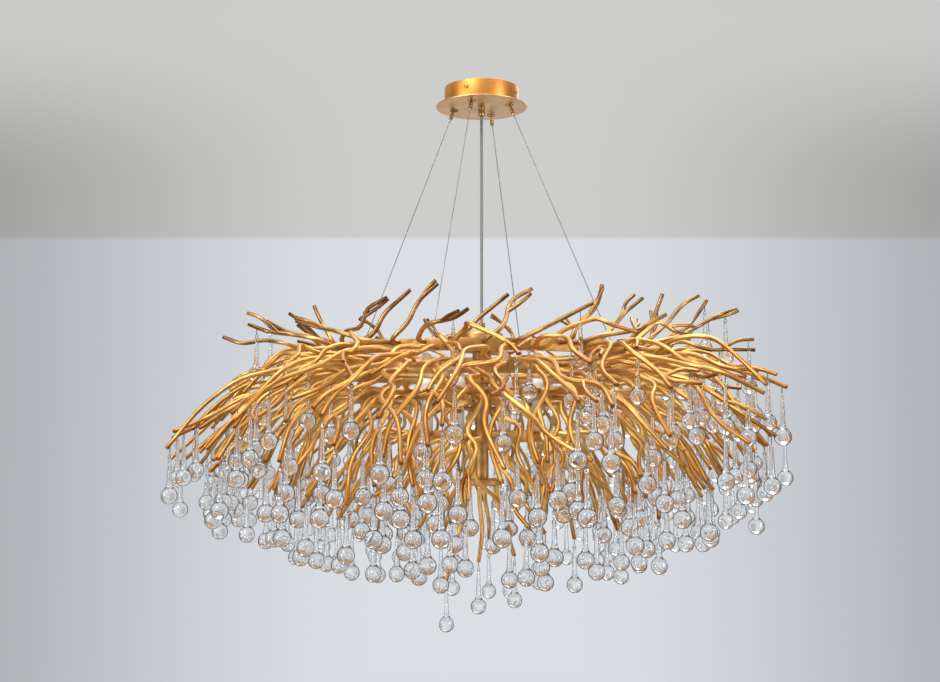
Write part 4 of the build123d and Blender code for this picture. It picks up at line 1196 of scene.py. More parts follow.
    def _hang(self) -> None:
        """Hang one drop near each tip, then more along the twigs where there is room."""
        bars = [(name, twig, line, radius) for name, grown in self.tiers.items() for twig in grown
                for line, radius in [(self.rounded(twig.points), self.twig_r)]
                + [(self.rounded(f), self.fork_r) for f in twig.forks]]
        drops_of = {row.name: row.drops for row in ROWS}
        drops_of |= {"crest": self.crest_drops, "tuft": self.tuft_drops}
        for rim_r, rim_z, _ in (LAYOUT.upper, LAYOUT.middle, LAYOUT.lower, LAYOUT.bottom):
            middle_r, middle_z = rim_r - LAYOUT.rim_t / 2, rim_z - LAYOUT.rim_h / 2
            ring = [polar(middle_r, turn, middle_z) for turn in range(0, 361, self.ring_step)]
            self.thicket.add(ring, LAYOUT.rim_h / 2)
        for number in range(max(drops_of.values())):
            for name, twig, line, radius in bars:
                length = sum(np.linalg.norm(b - a) for a, b in zip(line, line[1:]))
                first = self.tip_inset + number * self.drop_pitch
                last = min(first + self.drop_pitch, max(self.tip_inset + 1, self.drop_reach * length))
                for inset in np.arange(first, last, self.drop_step) if number < drops_of[name] else ():
                    spot = self.hang_under(name, line, radius, inset)
                    if spot and self.thicket.room(*spot.balls()) >= DROP.gap:
                        x, y, z = spot.place
                        low = z - DROP.hole_depth - DROP.ball_depth
                        self.thicket.add([(x, y, z - DROP.eye_neck), (x, y, low + DROP.ball_r)], DROP.eye_r)
                        self.thicket.add([(x, y, low), (x, y, low - 1e-3)], DROP.ball_r)
                        self.hangings.append(spot)
                        twig.eyes.append(spot)
                        break

    def swings_free(self, spot: Hanging) -> bool:
        """Whether a drop can swing both ways without touching anything else."""
        own = (abs(self.thicket.start[:, :2] - spot.place[:2]) < 1e-6).all(1)
        return all(self.thicket.room(*spot.balls(s * DROP.swing * k / self.swing_steps), bar=~own) >= DROP.gap
                   for s in (-1, 1) for k in range(1, self.swing_steps + 1))

    def _choose_swinging(self) -> None:
        """Let the outermost free drop of each sector swing."""
        for sector in range(self.swing_drops):
            inside = [h for h in self.hangings if int(h.turn() * self.swing_drops / 360) == sector]
            free = [h for h in inside if self.swings_free(h)]
            if free:
                self.swinging.append(max(free, key=Hanging.reach))

    def branches(self, tier: str) -> list[Branch]:
        """Lines of a tier's twigs and forks, a little thicker at the root than at the tip."""
        out = []
        for twig in self.tiers[tier]:
            thick = [self.twig_r * share for share in self.twig_taper]
            out.append(Branch(self.rounded(twig.points), *thick))
            for fork in twig.forks:
                thick = [self.fork_r * share for share in self.fork_taper]
                out.append(Branch(self.rounded(fork), *thick, self.fork_tone_from))
        return out


@dataclass
class Canopy:
    """Drum, trim disc, screws, swivel seats and cord gland at the ceiling."""

    drum_edge: float = 1.0
    disc_edge: float = 0.7
    screws: int = 4
    screw_stand: float = 0.2
    head_r: float = 3.4
    head_t: float = 2.0
    head_form: tuple[Span, ...] = ((1.0, 0.5), (0.7, 0.92), (0.25, 1.0), (0.2, 0.4), (0.0, 0.4))
    screw_r: float = 2.0
    screw_l: float = 6.0
    seat_r: float = 5.4
    seat_top: float = 13.8
    flange_r: float = 6.6
    flange_t: float = 1.6
    seat_low: float = -3.0
    bore_r: float = 4.5
    mouth_r: float = 4.2
    bush_short: float = 6.0
    bell_z: float = 0.4
    bush_edge: float = 0.4
    gland_stem: float = 12.2

    def build(self, grower: Grower) -> None:
        """Build the turned pieces and dress the plain ones."""
        lay = LAYOUT
        inner = lay.drum_r - lay.drum_wall
        cup = [(0, -lay.drum_h), (lay.drum_r, -lay.drum_h), (lay.drum_r, 0), (inner, 0),
               (inner, -lay.drum_h + lay.drum_wall), (0, -lay.drum_h + lay.drum_wall)]
        drum = Shape().lathe(softened(cup, self.drum_edge), sides=96).object("drum_shell", DRUM_GOLD)
        place(drum, "canopy", "canopy_gold", "canopy_drum")
        plate = [(0, lay.floor_z), (lay.disc_r, lay.floor_z), (lay.disc_r, -lay.drum_h), (0, -lay.drum_h)]
        disc = Shape().lathe(softened(plate, self.disc_edge), sides=96).object("trim_disc", DISC_GOLD)
        place(disc, "canopy", "canopy_gold", "canopy_disc")
        self._screws(grower)
        self._seats(grower)
        grip = Gland().shape(lay.floor_z, -1, self.gland_stem)
        place(grip.object("upper_gland", SHADED_FITTING_GOLD), "canopy", "canopy_gold", "canopy_gland")
        dress("ceiling_bracket", ZINC)
        dress("canopy_nuts", ZINC)
        dress("terminal_block", TERMINAL_WHITE)

    def _screws(self, grower: Grower) -> None:
        """Round-headed screws with a cross recess, through the drum's side."""
        shank = [(0, -self.screw_l), (self.screw_r, -self.screw_l), (self.screw_r, 0), (self.head_r, 0)]
        head = [(self.head_r * across, self.head_t * up) for across, up in self.head_form]
        screw = Shape().lathe(shank + head, aimed((0, 0, 0), (1, 0, 0)), sides=20)
        turns = [LAYOUT.side_screw_turn + k * 360 / self.screws for k in range(self.screws)]
        spots = [(polar(LAYOUT.drum_r + self.screw_stand, t, LAYOUT.side_screw_z), t) for t in turns]
        place(grower.on(spots, screw, "drum_screws", DRUM_GOLD), "canopy", "canopy_gold", "side_screws")

    def _seats(self, grower: Grower) -> None:
        """Flanged bushes whose bell mouths let the grippers lean."""
        shoulder, top = self.seat_low + self.flange_t, self.seat_top - self.bush_short
        bush = [(self.mouth_r, self.seat_low), (self.flange_r, self.seat_low), (self.flange_r, shoulder),
                (self.seat_r, shoulder), (self.seat_r, top), (self.bore_r, top), (self.bore_r, self.bell_z)]
        seat = Shape().lathe(softened(bush, self.bush_edge, 2, True), sides=32, closed=True)
        spots = [(LAYOUT.pivot(t), t) for t in LAYOUT.cable_turns]
        place(grower.on(spots, seat, "swivel_bushes", SHADED_FITTING_GOLD), "canopy", "canopy_gold", "swivel_seats")


@dataclass(frozen=True)
class Gland:
    """Round-ended cord grip with a ribbed collar."""

    stem_r: float = 4.8
    body_r: float = 5.5
    ribs: int = 7
    rib_from: float = 2.0
    rib_pitch: float = 0.9
    rib_deep: float = 0.5
    nose: tuple[Span, ...] = ((5.5, 3.0), (4.6, 0.8), (3.4, 0.0))

    def shape(self, z: float, way: int, stem: float) -> Shape:
        """Turn the grip.

        Args:
            z: Height of the face that it sits on.
            way: -1 where it hangs down from the face, +1 where it stands up.
            stem: Length of the stem on the other side of the face.

        Returns:
            The turned shape.
        """
        bore, end = LAYOUT.cord_r + LAYOUT.bore_gap, LAYOUT.gland_l
        profile = [(bore, -stem), (self.stem_r, -stem), (self.stem_r, 0), (self.body_r, 0)]
        profile += [(self.body_r - (self.rib_deep if k % 2 else 0.0), self.rib_from + self.rib_pitch * k)
                    for k in range(self.ribs)]
        profile += [(r, end - back) for r, back in self.nose] + [(bore, end)]
        return Shape().lathe([(r, z + way * h) for r, h in profile], sides=32, closed=True)


@dataclass
class Suspension:
    """Grippers, release nozzles, steel cables and the power cord."""

    ball_r: float = 4.2
    neck_r: float = 1.8
    neck_l: float = 6.8
    barrel_r: float = 3.1
    barrel_l: float = 11.0
    nozzle_r: float = 2.0
    nozzle_show: float = 3.0
    nozzle_depth: float = 4.5
    nozzle_edge: float = 0.3
    ball_arc: Span = (0.26, 2.69)
    ball_steps: int = 12
    groove: tuple[float, float, float] = (2.4, 2.8, 3.2)
    groove_deep: float = 0.35
    pocket: float = 6.8
    barrel_edge: float = 0.25
    cable_sides: int = 10
    cord_sides: int = 20
    route_shares: tuple[float, ...] = (0.0, 0.1, 0.5, 0.9, 1.0)

    def build(self) -> None:
        """Build one gripper, nozzle and cable on each line, and then the cord."""
        for number, turn in enumerate(LAYOUT.cable_turns, 1):
            pivot, stop = LAYOUT.pivot(turn), LAYOUT.stop(turn)
            line = aimed(pivot, stop)
            place(self._gripper(line).object(f"cable_gripper_{number}", SHADED_FITTING_GOLD), f"gripper_{number}",
                  "canopy_gold", f"gripper_{number}")
            place(self._nozzle(line).object(f"release_nozzle_{number}", NICKEL), f"gripper_nozzle_{number}",
                  "nozzle_nickel", f"gripper_nozzle_{number}")
            way = (Vector(stop) - Vector(pivot)).normalized()
            top = Vector(pivot) - way * LAYOUT.cable_tail
            self._strand(f"steel_cable_{number}", f"cable_{number}", top, Vector(stop), LAYOUT.cable_r,
                         self.cable_sides, WIRE_STEEL, "cable_steel")
        dress("cable_stops", WIRE_STEEL)
        self._cord()

    def _cord(self) -> None:
        """Straight power cord from the canopy to the hub."""
        top = Vector((0, 0, LAYOUT.floor_z + LAYOUT.cord_tail))
        low = Vector((0, 0, LAYOUT.cup_top - LAYOUT.cord_tail))
        self._strand("supply_cord", "power_cord", top, low, LAYOUT.cord_r, self.cord_sides, CORD_SHEATH,
                     "cord_sheath")

    def _gripper(self, line: Matrix) -> Shape:
        """Ball, neck and barrel with two turned grooves."""
        top, r, waist = self.neck_l, self.barrel_r, self.barrel_r - self.groove_deep
        end, (first, deep, last) = top + self.barrel_l, self.groove
        bore, pocket_r = LAYOUT.cable_r + LAYOUT.bore_gap, self.nozzle_r + LAYOUT.bore_gap
        arc = np.linspace(*self.ball_arc, self.ball_steps)
        ball = [(self.ball_r * math.sin(a), -self.ball_r * math.cos(a)) for a in arc]
        barrel = [(self.neck_r, top), (r, top), (r, top + first), (waist, top + deep), (r, top + last),
                  (r, end - last), (waist, end - deep), (r, end - first), (r, end),
                  (pocket_r, end), (pocket_r, end - self.pocket), (bore, end - self.pocket)]
        return Shape().lathe(ball + softened(barrel, self.barrel_edge, 2), line, sides=28, closed=True)

    def _nozzle(self, line: Matrix) -> Shape:
        """Short bored plunger that frees the cable when it is pushed in."""
        top = self.neck_l + self.barrel_l - self.nozzle_depth
        end = self.neck_l + self.barrel_l + self.nozzle_show
        bore = LAYOUT.cable_r + LAYOUT.bore_gap
        tube = [(bore, top), (self.nozzle_r, top), (self.nozzle_r, end), (bore, end)]
        return Shape().lathe(softened(tube, self.nozzle_edge, 2, True), line, sides=24, closed=True)

    def _strand(self, name: str, node: str, top: Vector, low: Vector, radius: float, sides: int, finish: Finish,
                slot: str) -> None:
        """Straight cord between two points.

        Args:
            name: Name of the piece.
            node: CAD node that it stands for.
            top: Upper end, in millimetres.
            low: Lower end, in millimetres.
            radius: Radius of the cord.
            sides: Sides of the tube.
            finish: Its finish.
            slot: Its material slot; not used.
        """
        route = [top.lerp(low, s) * MM for s in self.route_shares]
        curve = bpy.data.curves.new(name + "_route", "CURVE")
        curve.dimensions = "3D"
        spline = curve.splines.new("NURBS")
        spline.points.add(len(route) - 1)
        for point, at in zip(spline.points, route):
            point.co = (*at, 1.0)
        spline.order_u = 3
        spline.use_endpoint_u = True
        holder = bpy.data.objects.new(name + "_route", curve)
        bpy.context.scene.collection.objects.link(holder)
        graph = bpy.context.evaluated_depsgraph_get()
        wire = bpy.data.meshes.new_from_object(holder.evaluated_get(graph))
        path = [v.co.copy() for v in wire.vertices]
        bpy.data.objects.remove(holder)
        shape = Shape()
        run = [(0.0, 0.0)] + [(radius, (p - path[0]).length / MM) for p in path]
        shape.lathe(run + [(0.0, run[-1][1])], aimed(top, low), sides)
        piece = place(shape.object(name, finish), "canopy", slot, node)
        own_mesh(piece)


@dataclass
class CrownFrame:
    """Hub, four wheels and end cap that carry the twigs."""

    cup_r: float = 34.0
    cup_wall: float = 1.2
    cup_edge: float = 5.0
    cup_bevel: float = 1.5
    cup_inner_bevel: float = 2.5
    cup_soft: float = 0.8
    gland_hole: float = 4.95
    gland_stem: float = 10.2
    fit_gap: float = 0.15
    base_t: float = 3.0
    base_soft: float = 0.4
    sleeve_r: float = 15.0
    sleeve_h: float = 12.0
    tube_r: float = 11.0
    tube_wall: float = 1.5
    collar_r: float = 16.0
    collar_h: float = 16.0
    wheel_soft: float = 0.8
    spoke_r: float = 3.5
    spoke_in: float = 2.5
    lug_w: float = 18.0
    lug_t: float = 3.0
    lug_in: float = 9.0
    lug_hole_r: float = 3.0
    lug_slot: float = 3.0
    lug_steps: int = 10
    spigot_h: float = 14.0
    cap_soft: float = 3.0

    def build(self) -> None:
        """Build the hub, then the wheels from the top down."""
        lay, r = LAYOUT, self.cup_r
        inner, top, low = r - self.cup_wall, lay.cup_top, lay.tube_top
        cup = [(self.gland_hole, top), (r - self.cup_edge, top), (r - self.cup_bevel, top - self.cup_bevel),
               (r, top - self.cup_edge), (r, low), (inner, low), (inner, top - self.cup_edge),
               (inner - self.cup_bevel, top - self.cup_inner_bevel), (r - self.cup_edge, top - self.cup_wall),
               (self.gland_hole, top - self.cup_wall)]
        bell = Shape().lathe(softened(cup, self.cup_soft, 2, True), sides=64, closed=True)
        place(bell.object("hub_bell", FRAME_GOLD), "crown", "frame_gold", "hub_cup")
        bore, skin, edge = self.tube_r - self.tube_wall, self.tube_r + self.fit_gap, inner - self.fit_gap
        base = [(bore, low + self.base_t), (edge, low + self.base_t), (edge, low), (self.sleeve_r, low),
                (self.sleeve_r, low - self.sleeve_h), (skin, low - self.sleeve_h), (skin, low), (bore, low)]
        foot = Shape().lathe(softened(base, self.base_soft, 2, True), sides=48, closed=True)
        place(foot.object("hub_floor", FRAME_GOLD), "crown", "frame_gold", "hub_base")
        tube = [(bore, low), (self.tube_r, low), (self.tube_r, lay.tube_end), (bore, lay.tube_end)]
        stem = Shape().lathe(tube, sides=32, closed=True)
        place(stem.object("hub_stem", FRAME_GOLD), "crown", "frame_gold", "hub_tube")
        grip = Gland().shape(top, 1, self.gland_stem)
        place(grip.object("lower_gland", SHADED_FITTING_GOLD), "crown", "canopy_gold", "hub_gland")
        for name in ("upper", "middle", "lower", "bottom"):
            wheel = self._wheel(*getattr(lay, name), name == "upper")
            place(wheel.object(f"{name}_ring", FRAME_GOLD), "crown", "frame_gold", f"{name}_wheel")
        end = lay.tube_end
        spigot = bore - self.fit_gap
        cap = [(0, end - lay.cap_t), (lay.cap_r, end - lay.cap_t), (lay.cap_r, end), (spigot, end),
               (spigot, end + self.spigot_h), (0, end + self.spigot_h)]
        knob = Shape().lathe(softened(cap, self.cap_soft), sides=48)
        place(knob.object("tuft_cap", FRAME_GOLD), "crown", "frame_gold", "end_cap")
        dress("grub_screws", ZINC)

    def _wheel(self, rim_r: float, rim_z: float, collar_z: float, lugs: bool) -> Shape:
        """Rim with softened edges, collar, four spokes and, on the upper wheel, the cable lugs."""
        low, shape = rim_z - LAYOUT.rim_h, Shape()
        band = [(rim_r - LAYOUT.rim_t, rim_z), (rim_r, rim_z), (rim_r, low), (rim_r - LAYOUT.rim_t, low)]
        shape.lathe(softened(band, self.wheel_soft, 2, True), sides=128, closed=True)
        skin = self.tube_r + self.fit_gap
        foot = collar_z - self.collar_h
        ring = [(skin, collar_z), (self.collar_r, collar_z), (self.collar_r, foot), (skin, foot)]
        shape.lathe(softened(ring, self.wheel_soft, 2, True), sides=40, closed=True)
        for turn in (0, 90, 180, 270):
            start = polar(self.tube_r + self.spoke_in, turn, collar_z - self.collar_h / 2)
            shape.rod(start, polar(rim_r - LAYOUT.rim_t / 2, turn, rim_z - LAYOUT.rim_h / 2), self.spoke_r)
        for turn in LAYOUT.cable_turns if lugs else ():
            self._lug(shape, turned(turn), rim_r, rim_z)
        return shape

    def _lug(self, shape: Shape, where: Matrix, rim_r: float, rim_z: float) -> None:
        """Flat ear inside the rim with a slot for a cable, made of two halves round the slot."""
        near, far, half = LAYOUT.lug_pcr - self.lug_in, rim_r - LAYOUT.rim_t / 2, self.lug_w / 2
        arc = []
        for a in np.linspace(math.pi, 0, self.lug_steps):
            middle = LAYOUT.lug_pcr - (self.lug_slot if a > math.pi / 2 else 0.0)
            arc.append((middle + self.lug_hole_r * math.cos(a), self.lug_hole_r * math.sin(a)))
        for way in (1, -1):
            outline = [(near, 0), *[(x, way * y) for x, y in arc], (far, 0), (far, way * half), (near, way * half)]
            shape.prism(outline, rim_z - self.lug_t, rim_z, where)


@dataclass
class Lamps:
    """Lamp plate with holders and bulbs standing above and hanging below it."""

    count: int = 8
    pcr: float = 95.0
    plate_t: float = 3.0
    holder_r: float = 10.0
    holder_h: float = 20.0
    neck_r: float = 7.6
    neck_h: float = 7.0
    socket_r: float = 6.35
    socket_deep: float = 13.0
    groove: tuple[float, float, float] = (0.45, 0.5, 0.55)
    groove_deep: float = 0.6
    holder_soft: float = 0.6
    base_r: float = 6.2
    base_h: float = 12.0
    bulb_r: float = 8.0
    bulb_h: float = 42.0
    bulb_gap: float = 0.2
    dome_steps: int = 7

    def build(self, grower: Grower) -> None:
        """Set holders and bulbs on both faces of the plate."""
        dress("lamp_plate", FRAME_GOLD)
        turns = [(k + 0.5) * 360 / self.count for k in range(self.count)]
        above = [(polar(self.pcr, t, LAYOUT.plate_z), t) for t in turns]
        below = [(polar(self.pcr, t, LAYOUT.plate_z - self.plate_t), t) for t in turns]
        for side, spots, way in (("upper", above, 1), ("lower", below, -1)):
            flip = Matrix.Identity(4) if way > 0 else Matrix.Rotation(math.pi, 4, "X")
            holders = grower.on(spots, self._holder(flip), f"{side}_holders", GLAZED_WHITE)
            bulbs = grower.on(spots, self._bulb(flip), f"{side}_bulbs", BULB_GLASS)
            place(holders, "crown", "holder_white", "lamp_holders")
            place(bulbs, "crown", "bulb_glass", "bulbs")

    def _holder(self, flip: Matrix) -> Shape:
        """Glazed holder with a ringed skirt and an open socket."""
        r, top, neck = self.holder_r, self.holder_h, self.holder_h - self.neck_h
        first, deep, last = (neck * share for share in self.groove)
        form = [(0, 0), (r, 0), (r, first), (r - self.groove_deep, deep), (r, last), (r, neck), (self.neck_r, top),
                (self.socket_r, top), (self.socket_r, top - self.socket_deep), (0, top - self.socket_deep)]
        return Shape().lathe(softened(form, self.holder_soft, 2), flip, sides=24)

    def _bulb(self, flip: Matrix) -> Shape:
        """Slim bulb with a round end and a narrower base."""
        top, low, r = self.holder_h + self.bulb_gap, self.holder_h - self.base_h, self.bulb_r
        arc = np.linspace(math.pi / 2, 0, self.dome_steps)
        dome = [(r * math.sin(a), top + self.bulb_h - r + r * math.cos(a)) for a in arc]
        form = [(0, low), (self.base_r, low), (self.base_r, top), (r, top), *dome[:-1], (0, top + self.bulb_h)]
        return Shape().lathe(form, flip, sides=20)


@dataclass
class Crown:
    """Twigs, wire eyes and glass drops, tier by tier."""

    grove: Grove
    sides: int = 10
    ball_steps: int = 7
    tab_sides: int = 6
    stem_start: Span = (0.55, 0.75)
    flare_bend: Span = (0.28, 0.42)
    drop_sharp: float = 48.0
    ring_sides: int = 8
    wire_sides: int = 4
    neck_r: float = 0.8
    neck_rise: float = 1.5
    neck_sink: float = 0.2
    neck_sides: int = 5
    eye_sharp: float = 70.0

    def build(self, grower: Grower) -> None:
        """Grow the twigs and hang the drops of every tier."""
        tiers = list(self.grove.tiers)
        for seed, tier in enumerate(tiers):
            # The crest takes the darker copy of the twig gold, which is painted shade.
            gold = CREST_SHADED_GOLD if tier == "crest" else TWIG_GOLD
            twigs = grower.along(self.grove.branches(tier), f"{tier}_branches", gold, seed=float(seed))
            place(twigs, "crown", "twig_gold", f"{tier}_twigs")
            spots = [(h.place, h.heading) for twig in self.grove.tiers[tier] for h in twig.eyes]
            if spots:
                eyes = grower.on(spots, self._eye(), f"{tier}_eyes", WIRE_STEEL, self.eye_sharp)
                place(eyes, "crown", "twig_gold")
        loose = set(map(id, self.grove.swinging))
        for tier in [t for t in tiers if t not in LOW_TIERS] + ["under"]:
            names = LOW_TIERS if tier == "under" else (tier,)
            still = [h for h in self.grove.hangings if h.tier in names and id(h) not in loose]
            spots = [(h.hole(), h.heading) for h in still]
            self._hang(grower, spots, f"{tier}_glass", "crown", f"{tier}_drops")
        for number, spot in enumerate(self.grove.swinging, 1):
            name = f"swing_drop_{number}"
            self._hang(grower, [(spot.hole(), spot.heading)], f"swing_glass_{number}", name, name)

    def _hang(self, grower: Grower, spots: list[tuple[Point, float]], name: str, body: str, node: str) -> None:
        """Set glass drops on their eyes as one piece of one body."""
        glass = grower.on(spots, self._drop(), name, CLEAR_GLASS, self.drop_sharp)
        glass.visible_shadow = False
        place(glass, body, "clear_glass", node)

    def _eye(self) -> Shape:
        """Wire ring under a twig with a short soldered neck."""
        shape, n = Shape(), self.wire_sides
        shape.rod((0, 0, self.neck_rise), (0, 0, -DROP.eye_neck - self.neck_sink), self.neck_r, self.neck_sides)
        middle, wire = DROP.eye_r - DROP.eye_wire / 2, DROP.eye_wire / 2
        start = len(shape.points)
        for k in range(self.ring_sides):
            a = 2 * math.pi * k / self.ring_sides
            for c in range(n):
                b = 2 * math.pi * c / n
                r = middle + wire * math.cos(b)
                shape.points.append((wire * math.sin(b), r * math.cos(a), -DROP.eye_depth + r * math.sin(a)))
        for k in range(self.ring_sides):
            one, two = start + n * k, start + n * ((k + 1) % self.ring_sides)
            shape.faces += [[one + c, one + (c + 1) % n, two + (c + 1) % n, two + c] for c in range(n)]
        return shape

    def _drop(self) -> Shape:
        """Glass drop: small loop on top, slim stem, flare, crisp joint and ball."""
        d = DROP
        lift = math.sqrt(d.ball_r**2 - d.join_r**2)
        join = -d.ball_depth + lift
        first = math.asin(d.join_r / d.ball_r)
        ball = [(d.ball_r * math.sin(a), -d.ball_depth + d.ball_r * math.cos(a))
                for a in np.linspace(first, math.pi, self.ball_steps)]
        (pole, top), (out, up) = self.stem_start, self.flare_bend
        stem = [(0, -d.tab_r * pole), (d.stem_top_r, -d.tab_r * top), (d.stem_low_r, join + d.flare),
                (d.stem_low_r + (d.join_r - d.stem_low_r) * out, join + d.flare * up)]
        shape = Shape().lathe(stem + ball[:-1] + [(0, -d.length)], sides=self.sides)
        start, half, count = len(shape.points), d.tab_t / 2, self.tab_sides
        for r in (d.hole_r, d.tab_r):
            for y in (-half, half):
                for k in range(count):
                    a = 2 * math.pi * k / count
                    shape.points.append((r * math.cos(a), y, r * math.sin(a)))
        inner, outer = start, start + 2 * count
        for k in range(count):
            n = (k + 1) % count
            shape.faces += [[inner + k, inner + n, inner + count + n, inner + count + k],
                            [outer + k, outer + count + k, outer + count + n, outer + n],
                            [inner + k, outer + k, outer + n, inner + n],
                            [inner + count + k, inner + count + n, outer + count + n, outer + count + k]]
        return shape


@dataclass(frozen=True)
class Softbox:
    """Large flat lamp that looks at a point, with its width, height and power."""

    name: str
    at: Point
    aim: Point
    size: Span
    power: float

    def hang(self) -> None:
        """Put the lamp in the scene."""
        data = bpy.data.lights.new(self.name, "AREA")
        data.shape = "RECTANGLE"
        data.size, data.size_y = self.size
        data.energy = self.power
        lamp = bpy.data.objects.new(self.name, data)
        lamp.location = self.at
        lamp.rotation_euler = (Vector(self.aim) - Vector(self.at)).to_track_quat("-Z", "Y").to_euler()
        bpy.context.scene.collection.objects.link(lamp)


SOFTBOXES = [
    Softbox("key", (-1.6, -2.2, 1.8), (0, 0, -0.5), (1.4, 1.4), 58.0),
    Softbox("left_strip", (-2.3, -1.5, -0.3), (0, 0, -0.6), (0.5, 1.8), 28.0),
    Softbox("right_strip", (2.3, -1.5, -0.2), (0, 0, -0.6), (0.5, 1.8), 32.0),
    Softbox("top", (0.2, 0.2, 2.4), (0, 0, -0.5), (2.2, 2.2), 44.0),
    Softbox("back", (0.9, 2.3, 1.2), (0, 0, -0.5), (1.4, 1.4), 22.0),
]
# Share of the way from straight down to straight up, and brightness there.
SKY_STOPS = [(0.0, 0.55), (0.40, 0.58), (0.60, 0.60), (0.8, 0.95), (1.0, 1.15)]


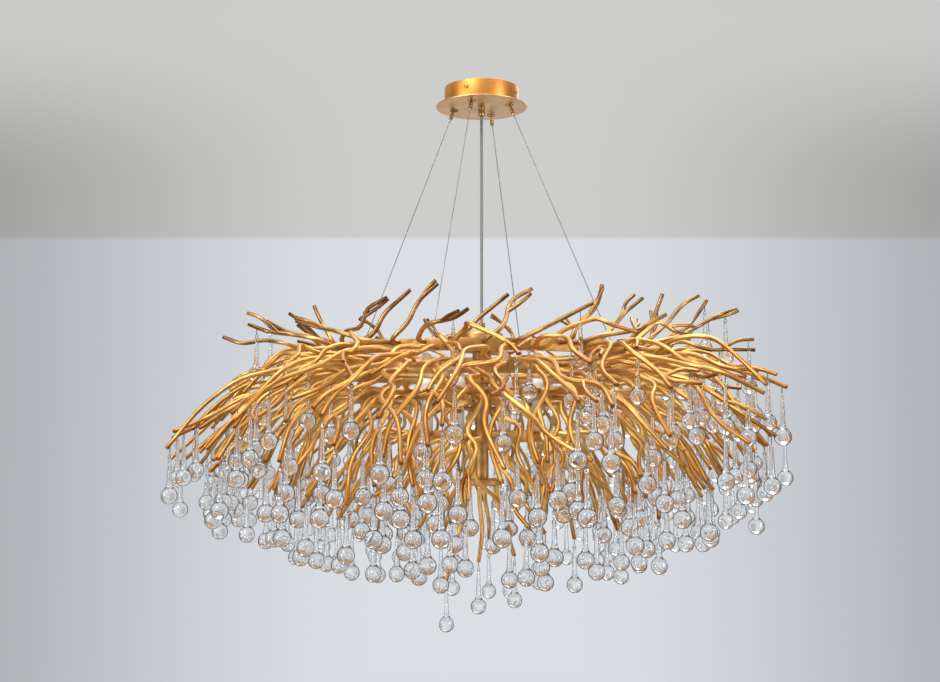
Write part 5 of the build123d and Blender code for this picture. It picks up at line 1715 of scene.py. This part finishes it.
@dataclass
class Studio:
    """Pale backdrop and floor with painted shade at the wall's sides, soft lights, sky and camera, in metres; a
    pair is where a change starts and ends.
    """

    wall_y: float = 3.0
    floor_z: float = -2.1
    half_width: float = 7.0
    wall_top: float = 1.9
    cove: float = 0.7
    cove_steps: int = 12
    ceiling_edge: Span = (0.238, 0.262)
    top_fade: Span = (1.4, 1.88)
    ends_fade: Span = (2.3, 6.0)
    # The side reach and the side fields below shape painted shade that darkens the wall towards its sides, less so
    # high up and near the floor.
    side_reach: Span = (0.3, 2.4)
    ceiling_tone: Colour = (0.61, 0.61, 0.60)
    wall_tone: Colour = (0.71, 0.735, 0.77)
    side_shade_depth: float = 0.42
    side_top: Span = (0.45, 1.2)
    side_top_share: float = 0.1
    side_lift: float = 0.5
    floor_shade: float = 0.15
    floor_lift: float = 0.6
    shadow_reach: Span = (0.8, 2.9)
    plain_share: float = 0.2
    lit_level: float = 0.6
    flags: float = 0.95
    flag_edge: Span = (0.86, 0.93)
    sky_blue: float = 1.02
    focal: float = 1145.0
    image_width: float = 940.0
    sensor: float = 36.0
    camera_at: Point = (-0.019, -1.855, -0.557)
    pitch: float = 4.3

    def build(self) -> None:
        """Set up the whole stage."""
        self._backdrop()
        self._sky()
        for softbox in SOFTBOXES:
            softbox.hang()
        self._camera()
        bpy.context.scene.view_settings.view_transform = "Standard"

    def _camera(self) -> None:
        """Camera at the photograph's place, tilted up a little."""
        data = bpy.data.cameras.new("camera")
        data.sensor_width = self.sensor
        data.lens = self.focal / self.image_width * data.sensor_width
        camera = bpy.data.objects.new("camera", data)
        camera.location = self.camera_at
        camera.rotation_euler = (math.radians(90 + self.pitch), 0, 0)
        bpy.context.scene.collection.objects.link(camera)
        bpy.context.scene.camera = camera

    def _backdrop(self) -> None:
        """Floor that turns up into a wall through a wide cove."""
        cove, steps = self.cove, self.cove_steps
        line = [(-self.half_width, self.floor_z), (self.wall_y - cove, self.floor_z)]
        for k in range(1, steps + 1):
            a = math.pi / 2 * k / steps
            line.append((self.wall_y - cove + cove * math.sin(a), self.floor_z + cove - cove * math.cos(a)))
        line.append((self.wall_y, self.wall_top))
        mesh = bpy.data.meshes.new("backdrop")
        points = [(x, y, z) for y, z in line for x in (-self.half_width, self.half_width)]
        mesh.from_pydata(points, [], [(2 * k, 2 * k + 1, 2 * k + 3, 2 * k + 2) for k in range(len(line) - 1)])
        mesh.shade_smooth()
        mesh.materials.append(self._wall_paint())
        backdrop = bpy.data.objects.new("backdrop", mesh)
        bpy.context.scene.collection.objects.link(backdrop)

    def _wall_paint(self) -> bpy.types.Material:
        """Pale paint with painted shade at the sides that looks the same to eye, metal and glass; under the crown
        it keeps the shadow.
        """
        paint = bpy.data.materials.new("backdrop_paint")
        paint.use_nodes = True
        sheet = NodeSheet(paint.node_tree)
        paint.node_tree.nodes.remove(paint.node_tree.nodes["Principled BSDF"])
        place = sheet.add("ShaderNodeTexCoord").outputs["Object"]
        at = sheet.add("ShaderNodeSeparateXYZ", Vector=place).outputs
        aside = sheet.math("ABSOLUTE", at[0])
        near = sheet.math("MINIMUM", sheet.ramp(aside, *self.ends_fade, 1.0, 0.0),
                          sheet.ramp(at[1], -self.ends_fade[1], -self.ends_fade[0]))
        above = sheet.math("MULTIPLY", sheet.ramp(at[2], *self.ceiling_edge),
                           sheet.ramp(at[2], *self.top_fade, 1.0, 0.0))
        # Painted shade: the wall darkens towards its sides, less so high up and close to the floor.
        painted_side_shade = sheet.math("MULTIPLY", sheet.ramp(aside, *self.side_reach, 0.0, self.side_shade_depth),
                          sheet.ramp(at[2], *self.side_top, 1.0, self.side_top_share))
        painted_side_shade = sheet.math("MULTIPLY", painted_side_shade, sheet.ramp(at[2], self.floor_z, self.floor_z + self.side_lift))
        low = sheet.ramp(at[2], self.floor_z, self.floor_z + self.floor_lift, self.floor_shade, 0.0)
        wall = (*self.wall_tone, 1.0)
        tone = sheet.blend(sheet.math("MULTIPLY", above, near), wall, (*self.ceiling_tone, 1.0))
        tone = sheet.blend(sheet.math("MULTIPLY", sheet.math("MAXIMUM", painted_side_shade, low), near), tone, BLACK)
        rays = sheet.add("ShaderNodeLightPath").outputs
        seen = sheet.math("MAXIMUM", rays["Is Camera Ray"],
                          sheet.math("MAXIMUM", rays["Is Glossy Ray"], rays["Is Transmission Ray"]))
        away = sheet.add("ShaderNodeVectorMath", operation="DISTANCE", _0=place, _1=(0.0, 0.0, self.floor_z))
        seen = sheet.math("MULTIPLY", seen,
                          sheet.ramp(away.outputs["Value"], *self.shadow_reach, self.plain_share, 1.0))
        matte = sheet.add("ShaderNodeBsdfDiffuse", Color=sheet.blend(self.lit_level, BLACK, tone))
        plain = sheet.add("ShaderNodeEmission", Color=tone)
        mixed = sheet.add("ShaderNodeMixShader", _0=seen, _1=matte.outputs[0], _2=plain.outputs[0])
        sheet.feed(paint.node_tree.nodes["Material Output"].inputs["Surface"], mixed.outputs[0])
        return paint

    def _sky(self) -> None:
        """Sky, bright above, with dark sides that give gold an edge; eye and glass see one plain tone instead."""
        world = bpy.data.worlds.new("studio_sky")
        world.use_nodes = True
        bpy.context.scene.world = world
        sheet = NodeSheet(world.node_tree)
        heading = sheet.add("ShaderNodeTexCoord").outputs["Generated"]
        way = sheet.add("ShaderNodeSeparateXYZ", Vector=heading).outputs
        ramp = sheet.add("ShaderNodeValToRGB", Fac=sheet.math("MULTIPLY_ADD", way[2], 0.5, 0.5))
        flag = sheet.even(sheet.math("ABSOLUTE", way[0]), *self.flag_edge, 0.0, self.flags)
        sky = sheet.blend(flag, ramp.outputs[0], BLACK)
        band = ramp.color_ramp.elements
        while len(band) < len(SKY_STOPS):
            band.new(0.5)
        for element, (at, level) in zip(band, SKY_STOPS):
            element.position = at
            element.color = (level, level, level * self.sky_blue, 1.0)
        rays = sheet.add("ShaderNodeLightPath").outputs
        seen = sheet.math("MAXIMUM", rays["Is Camera Ray"], rays["Is Transmission Ray"])
        ground = world.node_tree.nodes["Background"]
        sheet.feed(ground.inputs["Color"], sheet.blend(seen, sky, (*self.wall_tone, 1.0)))
        ground.inputs["Strength"].default_value = 1.0


def main() -> None:
    """Build the chandelier from the ceiling down, then the stage."""
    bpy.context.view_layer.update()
    grower = Grower()
    Studio().build()
    Suspension().build()
    Canopy().build(grower)
    CrownFrame().build()
    Lamps().build(grower)
    Crown(Grove()).build(grower)


if __name__ == "__main__":
    main()
